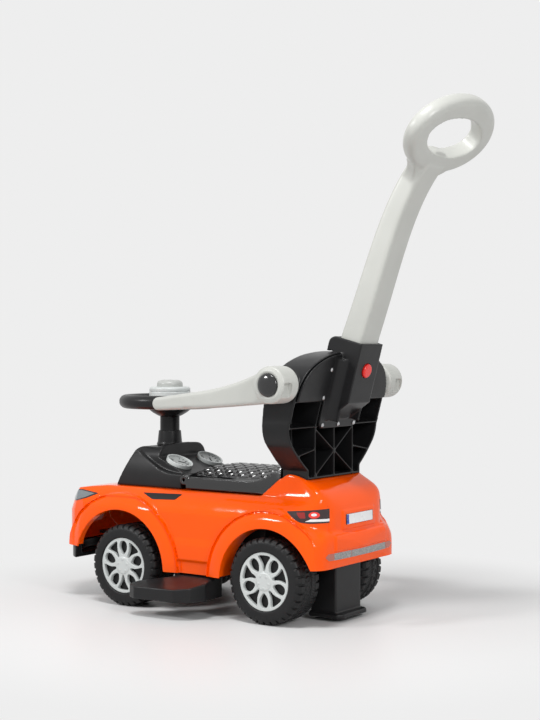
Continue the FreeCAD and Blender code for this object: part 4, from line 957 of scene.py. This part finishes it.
def opening(half, degrees):
    """A window of the cover: (distance from the hub, half width) points, laid along a spoke line."""
    angle = math.radians(degrees)
    return [(COVER_CENTRE[0] + r * math.sin(angle) + w * math.cos(angle),
             COVER_CENTRE[1] + r * math.cos(angle) - w * math.sin(angle)) for r, w in mirrored(half)]


def cover_form():
    """The wheel cover of the rear left wheel: rim, five pairs of curved spokes, hub disc and bolts."""
    cover = prism("cover_form", "xz", circle(COVER_CENTRE, COVER_RADIUS), COVER_FACE, COVER_BACK)
    for step in range(SPOKE_PAIRS):
        for half, turn in ((PETAL, 0.0), (GAP, SPOKE_TURN / 2)):
            window = opening(half, turn + SPOKE_TURN * step)
            combine(cover, prism("window", "xz", window, *COVER_THROUGH), "DIFFERENCE")
    hub = prism("hub", "xz", circle(COVER_CENTRE, HUB_RADIUS, 64), *HUB_REACH)
    soften(joined(cover, hub), 0.7, 4)
    well = prism("well", "xz", circle(COVER_CENTRE, NUT_WELL_RADIUS, 48), *NUT_WELL_REACH)
    combine(cover, well, "DIFFERENCE")
    bolts = []
    for step in range(SPOKE_PAIRS):
        angle = math.tau * step / SPOKE_PAIRS
        spot = at(COVER_CENTRE[0] + BOLT_RING * math.sin(angle), BOLT_SEAT,
                  COVER_CENTRE[1] + BOLT_RING * math.cos(angle))
        bolts.append(turned("bolt", BOLT, spot, (0, -1, 0), 20))
    return joined(cover, *bolts)


COVER = cover_form()
COVER_HUB = at(COVER_CENTRE[0], WHEEL_MIDDLE, COVER_CENTRE[1])
TYRE_POINTS, TYRE_FACES = tyre_mesh()


def wheel(end, word, side):
    """A tyre and the cover in its outer face, turned half a spoke pair on at the rear."""
    place = end + "_" + word
    hub = middle("tyre_" + place)
    outer_face = hub.y + side * TYRE_WIDTH / 2 * MM
    x, y, z = (TYRE_POINTS * MM).T
    spots = np.column_stack([hub.x + x, outer_face - side * y, hub.z + z])
    tyre = face_outward(from_data("tread_" + place, spots, TYRE_FACES))
    finished(tyre, "wheel_" + place, "wheel_black", TYRE_BLACK, "tyre_" + place, angle=55)
    trim = new_object("petals_" + place, COVER.data.copy())
    turn = Matrix.Rotation(math.radians(SPOKE_TURN / 2 if end == "rear" else 0.0), 4, "Y")
    about = Matrix.Rotation(0.0 if side < 0 else math.pi, 4, "Z")
    trim.data.transform(Matrix.Translation(hub) @ about @ turn @ Matrix.Translation(-COVER_HUB))
    finished(trim, "wheel_" + place, "silver_plastic", SILVER, "wheel_cover_" + place, angle=50)


for end in ("front", "rear"):
    for word, side in SIDES:
        wheel(end, word, side)
bpy.data.objects.remove(COVER)


# Softened copies of the moulded pieces

SOFT = [
    # name, node, body, slot, material, voxel, rounds
    ("backrest_form", "backrest", "car", "black_plastic", BLACK, 1.5, 4),
    ("bracket_form", "handle_bracket", "car", "black_plastic", BLACK, 1.4, 4),
    ("handle_form", "push_handle", "handle", "grey_plastic", GREY, 2.0, 10),
    ("arm_form_left", "guard_arm_left", "arm_left", "grey_plastic", GREY, 1.5, 6),
    ("arm_form_right", "guard_arm_right", "arm_right", "grey_plastic", GREY, 1.5, 6),
    ("console_form", "console", "car", "black_plastic", BLACK, 1.5, 6),
    ("seat_form", "seat_lid", "seat", "black_plastic", SEAT_BLACK, 1.2, 6),
    ("step_left", "footrest_left", "car", "black_plastic", BLACK, 1.6, 6),
    ("step_right", "footrest_right", "car", "black_plastic", BLACK, 1.6, 6),
    ("tip_stop", "anti_tip_stop", "car", "black_plastic", BLACK, 1.6, 4),
    ("chin_lip", "front_skirt", "car", "black_plastic", BLACK, 1.4, 5),
    ("spoke_star", "steering_spokes", "steering", "silver_plastic", SILVER, 1.0, 4),
    ("tray_form", "chassis_tray", "car", "black_plastic", BLACK, 2.0, 3),
    ("tub_form", "storage_tub", "car", "black_plastic", BLACK, 1.2, 2),
]
LOOP = (284.0, 836.0)
LOOP_LEAN = math.radians(42.0)
GUSSET_HALF = traced((-104, 27.5), ((-88, 33), (-70, 52)), (-50, 52))
GUSSET_THICK = 11.0
HOLE_BUMP_HALF = traced((-60, 30), (-40, 30), ((-36, 22), (-33, 0)))
HOLE_BUMP_THICK = 10.0
CHIN_FORWARD = 0.009
CHIN_WIDER = 1.07


def on_loop(along, across, out):
    """A point in the plane of the grip loop."""
    x = LOOP[0] + along * math.sin(LOOP_LEAN) + out * math.cos(LOOP_LEAN)
    z = LOOP[1] + along * math.cos(LOOP_LEAN) - out * math.sin(LOOP_LEAN)
    return at(x, across, z)


def loop_plate(name, half, thick):
    """A plate in the plane of the grip loop, from its half outline as (along, across) points."""
    plate = prism(name, "xy", mirrored(half), -thick, thick)
    points = in_mm(coords(plate.data))
    put(plate.data, np.array([on_loop(*point) for point in points]))
    return plate


formed = {}
for name, node, body, slot, material, voxel, rounds in SOFT:
    piece = copy_of(name, node)
    if name == "handle_form":
        gusset = loop_plate("gusset", GUSSET_HALF, GUSSET_THICK)
        bump = loop_plate("bump", HOLE_BUMP_HALF, HOLE_BUMP_THICK)
        joined(piece, gusset, bump)
    soften(piece, voxel, rounds)
    if name == "chin_lip":
        spots = coords(piece.data)
        spots[:, 0] -= CHIN_FORWARD
        spots[:, 1] *= CHIN_WIDER
        put(piece.data, spots)
    formed[name] = finished(piece, body, slot, material, node)

SCALE_PITCH = 25.0
SCALE_RISE = 2.4
SCALE_SINK = 1.4
SCALES_ABOVE = 239
SCALES_SIDE = (74, 80)
SCALES_FRONT = (-196, -188)
SCALES_REAR = (-30, -20)
RING_INNER = (19.5, 21.5)
RING_OUTER = (25.0, 27.5)
RING_RISE = 1.6


def seat_relief():
    """Rows of raised scales over the seat's top."""
    mesh = formed["seat_form"].data
    points = coords(mesh)
    facing = normals(mesh)
    x, y, z = in_mm(points).T
    top = ramp(facing[:, 2], 0.6, 0.8) * (z > SCALES_ABOVE) * (1.0 - ramp(np.abs(y), *SCALES_SIDE))
    top *= between(x, SCALES_FRONT, SCALES_REAR)
    u = (x + y) / SCALE_PITCH
    v = (x - y) / SCALE_PITCH
    cell = np.abs(np.sin(math.pi * u)) * np.abs(np.sin(math.pi * v))
    rise = SCALE_RISE * ramp(cell, 0.0, 0.5) - SCALE_SINK
    points += facing * (top * rise * MM)[:, None]
    put(mesh, points)


def arm_ring(word, side):
    """A raised ring round the dome of a guard arm."""
    mesh = formed["arm_form_" + word].data
    points = coords(mesh)
    spots = in_mm(points)
    hub = in_mm(np.array([middle("arm_cap_" + word)]))[0]
    away = np.hypot(spots[:, 0] - hub[0], spots[:, 2] - hub[2])
    outward = ramp(normals(mesh)[:, 1] * side, 0.6, 0.9)
    points[:, 1] += side * outward * between(away, RING_INNER, RING_OUTER) * RING_RISE * MM
    put(mesh, points)


seat_relief()
for word, side in SIDES:
    arm_ring(word, side)


# Steering wheel, its buttons and the arms' domes

COLUMN = Vector((FRONT, 0.0, 0.0))
RIM_RADIUS = 84.0
RIM_THICK = 13.0
RIM_Z = 374.0
RIM_STEPS = 144
RIM_AROUND = 40
PARTING_DEPTH = 0.35
PARTING_WIDTH = 0.07
ROUND_PIECES = [
    # name, body, slot, material, node, profile as (radius, height) points, corner radius
    ("sleeve_cone", "car", "black_plastic", BLACK, "column_sleeve",
     [(19.1, 290), (25.0, 290), (25.0, 293), (23.5, 296), (21.3, 318), (19.1, 318)], 1.2),
    ("column_tube", "steering", "black_plastic", BLACK, "steering_column",
     [(8.0, 260), (18.7, 260), (18.7, 345), (8.0, 345)], 0.5),
    ("bowl_form", "steering", "black_plastic", BLACK, "hub_bowl",
     [(8.0, 345), (20.2, 345), (34.0, 353), (40.7, 359), (40.7, 366), (8.0, 366)], 4.0),
    ("hub_collar", "steering", "silver_plastic", SILVER, "hub_ring",
     [(25.1, 393), (39.3, 393), (39.3, 399), (36.0, 402), (25.1, 402)], 1.6),
    ("horn_button", "horn", "grey_plastic", CAP_GREY, "horn_cap",
     [(0.01, 396.5), (24.8, 396.5), (24.8, 409), (21.8, 413), (15.8, 415), (0.01, 415.2)], 3.0),
]
KEY = [(0.01, 0), (6.0, 0), (6.0, 5.2), (4.6, 6.0), (0.01, 6.2)]
KEY_CORNER = 1.2
DOME_RADIUS = 19.5
DOME_EDGE = 1.6
DOME_RISE = 6.4
DOME_STEPS = 14


def steering_rim():
    """The thick rim with a faint parting line round its inside and outside."""
    points = []
    for step in range(RIM_STEPS):
        turn = math.tau * step / RIM_STEPS
        for spot in range(RIM_AROUND):
            angle = math.tau * spot / RIM_AROUND
            thick = RIM_THICK - PARTING_DEPTH * math.exp(-(math.sin(angle) / PARTING_WIDTH) ** 2)
            reach = RIM_RADIUS + thick * math.cos(angle)
            points.append(COLUMN + Vector((reach * math.cos(turn) * MM, reach * math.sin(turn) * MM,
                                           (RIM_Z + thick * math.sin(angle)) * MM)))
    faces = []
    for step in range(RIM_STEPS):
        here = step * RIM_AROUND
        after = (step + 1) % RIM_STEPS * RIM_AROUND
        for spot in range(RIM_AROUND):
            on = (spot + 1) % RIM_AROUND
            faces.append([here + spot, after + spot, after + on, here + on])
    obj = from_data("wheel_rim", points, faces)
    return finished(obj, "steering", "black_plastic", BLACK, "steering_rim")


def red_key(word):
    low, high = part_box("music_button_" + word)
    spot = Vector(((low.x + high.x) / 2, (low.y + high.y) / 2, low.z))
    piece = turned("key_" + word, eased(KEY, KEY_CORNER), spot, steps=48)
    finished(piece, "music_" + word, "red_plastic", RED, "music_button_" + word, angle=35)


def arm_dome(word, side):
    cap = middle("arm_cap_" + word)
    low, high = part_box("arm_cap_" + word)
    face = Vector((cap.x, low.y if side > 0 else high.y, cap.z))
    profile = [(DOME_RADIUS, 0), (DOME_RADIUS, DOME_EDGE)]
    for step in range(1, DOME_STEPS):
        angle = math.pi / 2 * step / DOME_STEPS
        profile.append((DOME_RADIUS * math.cos(angle), DOME_EDGE + DOME_RISE * math.sin(angle)))
    profile.append((0.01, DOME_EDGE + DOME_RISE))
    piece = turned("dome_" + word, profile, face, (0, side, 0), 72)
    finished(piece, "car", "black_plastic", DOME, "arm_cap_" + word, angle=50)


steering_rim()
for name, body, slot, material, node, profile, radius in ROUND_PIECES:
    piece = turned(name, eased(profile, radius), COLUMN)
    finished(piece, body, slot, material, node, angle=35)
for word, side in SIDES:
    red_key(word)
    arm_dome(word, side)


# Gauges

BEZEL = [(22.3, -4), (25.5, -4), (25.5, 3.4), (24.0, 4.0), (22.3, 3.0), (22.3, -4)]
BEZEL_CORNER = 0.7
DIAL_FACE = [(0.01, 0.0), (8, 0.15), (16, 0.3), (22.2, 0.6), (22.2, -4)]
TICKS = 11
TICK_START = -135
TICK_TURN = 27
TICK_ENDS = (13.0, 15.0, 18.2)
TICK_HALF = 0.55
NEEDLE = {"left": 48, "right": -36}
NEEDLE_ENDS = (-3.0, 13.0)
NEEDLE_HALF = 0.7
MARK_HEIGHTS = (0.2, 1.0)


def gauge_frame(word):
    """The middle of a dial's face and the directions across, along and out of it."""
    spots = coords(nodes["gauge_face_" + word].data)
    centre = Vector((spots.min(axis=0) + spots.max(axis=0)) / 2)
    normal = Vector(np.linalg.svd(spots - spots.mean(axis=0))[2][2])
    if normal.z < 0:
        normal = -normal
    top = max(spots @ np.array(normal))
    centre += normal * (top - centre.dot(normal))
    across = Vector((0, 1, 0))
    return centre, across, normal.cross(across).normalized(), normal


def gauge(word):
    """A bezel, a dished dial, and plain ticks with a needle on it."""
    centre, across, along, out = gauge_frame(word)
    bezel = turned("bezel_" + word, eased(BEZEL, BEZEL_CORNER), centre, out, 72)
    finished(bezel, "car", "silver_plastic", SILVER, "gauge_bezel_" + word, angle=40)
    face = turned("dial_" + word, DIAL_FACE, centre, out, 72)
    finished(face, "car", "gauge_face", DIAL, "gauge_face_" + word, angle=40)
    points = []
    faces = []

    def mark(degrees, low, high, half):
        angle = math.radians(degrees)
        reach = across * math.sin(angle) + along * -math.cos(angle)
        wide = across * math.cos(angle) - along * -math.sin(angle)
        first = len(points)
        for height in MARK_HEIGHTS:
            for r, w in ((low, -half), (low, half), (high, half), (high, -half)):
                points.append(centre + (reach * r + wide * w) * MM + out * height * MM)
        faces.append([first + 4, first + 5, first + 6, first + 7])
        faces.append([first, first + 3, first + 2, first + 1])
        for k in range(4):
            n = (k + 1) % 4
            faces.append([first + k, first + n, first + 4 + n, first + 4 + k])

    long_end, short_end, outer_end = TICK_ENDS
    for step in range(TICKS):
        mark(TICK_START + TICK_TURN * step, short_end if step % 2 else long_end, outer_end, TICK_HALF)
    mark(NEEDLE[word], *NEEDLE_ENDS, NEEDLE_HALF)
    marks = from_data("dial_marks_" + word, points, faces)
    finished(marks, "car", "gauge_face", BLACK)


gauge("left")
gauge("right")


# Release button and the nodes that keep their CAD shape

release = soften(copy_of("release_form", "release_button"), 0.7, 4)
finished(release, "release", "red_plastic", RED, "release_button")
KEPT = {
    BLACK: ["front_axle_carrier", "axle_spacers_front", "axle_spacers_rear", "arm_pivot_left",
            "arm_pivot_right"],
    STEEL: ["steering_shaft", "front_axle", "rear_axle", "push_nuts_front", "push_nuts_rear",
            "bracket_screws", "seat_hinge_pin"],
}
for material, names in KEPT.items():
    for name in names:
        data = nodes[name].data
        if not data.materials:
            data.materials.append(material)
        for index in range(len(data.materials)):
            data.materials[index] = material


# Floor, light and camera

BACKDROP = 0.855
AMBIENT = 0.42
FLOOR_REACH = 9.0
FLOOR_DROP = 0.0002
FLOOR_TONES = (0.735, 0.745)
FLOOR_ROUGH = 0.42
FLOOR_SPECULAR = 0.18
FADE = (0.36, 0.80)
SOFTBOXES = [
    # name, place, target, width, height, power
    ("key", (-1.3, -1.9, 1.6), (0, 0, 0.25), 0.45, 0.3, 26.0),
    ("overhead", (0.3, -0.8, 2.1), (0, 0, 0.2), 0.6, 0.3, 22.0),
    ("right_fill", (2.0, -0.9, 1.2), (0, 0, 0.2), 0.35, 0.6, 17.0),
]
FOCAL_LENGTH = 69.31
SENSOR = 36.0
CAMERA_SPOT = (REAR + 1.3615, -2.0843, 0.4785)
CAMERA_DOWN = 0.545
CAMERA_TURN = 34.712


def is_seen(tree):
    """1 for rays that show the backdrop: from the camera, a reflection or through a clear piece."""
    path = tree.nodes.new("ShaderNodeLightPath")
    total = path.outputs["Is Camera Ray"]
    for word in ("Is Glossy Ray", "Is Transmission Ray"):
        both = {0: total, 1: path.outputs[word]}
        total = add_node(tree, "Math", both, operation="MAXIMUM").outputs[0]
    return total


def floor_material():
    """A pale sheet that keeps the shadow near the car and fades into the backdrop."""
    material, tree, bsdf = shader("floor_sheet")
    place = object_place(tree)
    dark, light = [(tone, tone, tone) for tone in FLOOR_TONES]
    tint = tinted(tree, noise(tree, place, 2.0, 2.0), dark, light)
    feed(tree, bsdf, {"Base Color": tint},
         {"Roughness": FLOOR_ROUGH, "Specular IOR Level": FLOOR_SPECULAR})
    length = add_node(tree, "VectorMath", {0: place}, operation="LENGTH")
    fade = add_node(tree, "MapRange", {"Value": length.outputs["Value"]},
                    {"From Min": FADE[0], "From Max": FADE[1]}, interpolation_type="SMOOTHSTEP")
    both = {0: fade.outputs["Result"], 1: is_seen(tree)}
    share = add_node(tree, "Math", both, operation="MULTIPLY")
    glow = add_node(tree, "Emission", {}, {"Color": (BACKDROP, BACKDROP, BACKDROP, 1.0)})
    mix = add_node(tree, "MixShader", {"Fac": share.outputs[0], 1: bsdf.outputs["BSDF"],
                                       2: glow.outputs["Emission"]})
    feed(tree, tree.nodes["Material Output"], {"Surface": mix.outputs["Shader"]})
    return material


def floor():
    corners = [(x * FLOOR_REACH, y * FLOOR_REACH, 0) for x, y in ((-1, -1), (1, -1), (1, 1), (-1, 1))]
    sheet = from_data("floor_sheet", corners, [[0, 1, 2, 3]])
    sheet.location.z = -FLOOR_DROP
    sheet.data.materials.append(floor_material())


def world_light():
    """An even light all round, with the backdrop's own brightness where it is seen."""
    world = bpy.data.worlds.new("studio")
    bpy.context.scene.world = world
    world.use_nodes = True
    tree = world.node_tree
    ends = {"To Min": AMBIENT, "To Max": BACKDROP}
    strength = add_node(tree, "MapRange", {"Value": is_seen(tree)}, ends)
    feed(tree, tree.nodes["Background"], {"Strength": strength.outputs["Result"]},
         {"Color": (1.0, 1.0, 1.0, 1.0)})


def softbox(name, spot, target, width, height, power):
    light = bpy.data.lights.new(name, "AREA")
    light.shape = "RECTANGLE"
    light.size = width
    light.size_y = height
    light.energy = power
    obj = new_object(name, light)
    obj.location = spot
    obj.rotation_euler = (Vector(target) - Vector(spot)).to_track_quat("-Z", "Y").to_euler()


def photo_camera():
    lens = bpy.data.cameras.new("photo_camera")
    lens.lens = FOCAL_LENGTH
    lens.sensor_width = SENSOR
    camera = new_object("photo_camera", lens)
    camera.location = CAMERA_SPOT
    camera.rotation_euler = (math.radians(90 - CAMERA_DOWN), 0.0, math.radians(CAMERA_TURN))
    bpy.context.scene.camera = camera
    bpy.context.scene.view_settings.view_transform = "Standard"


floor()
world_light()
for box in SOFTBOXES:
    softbox(*box)
photo_camera()
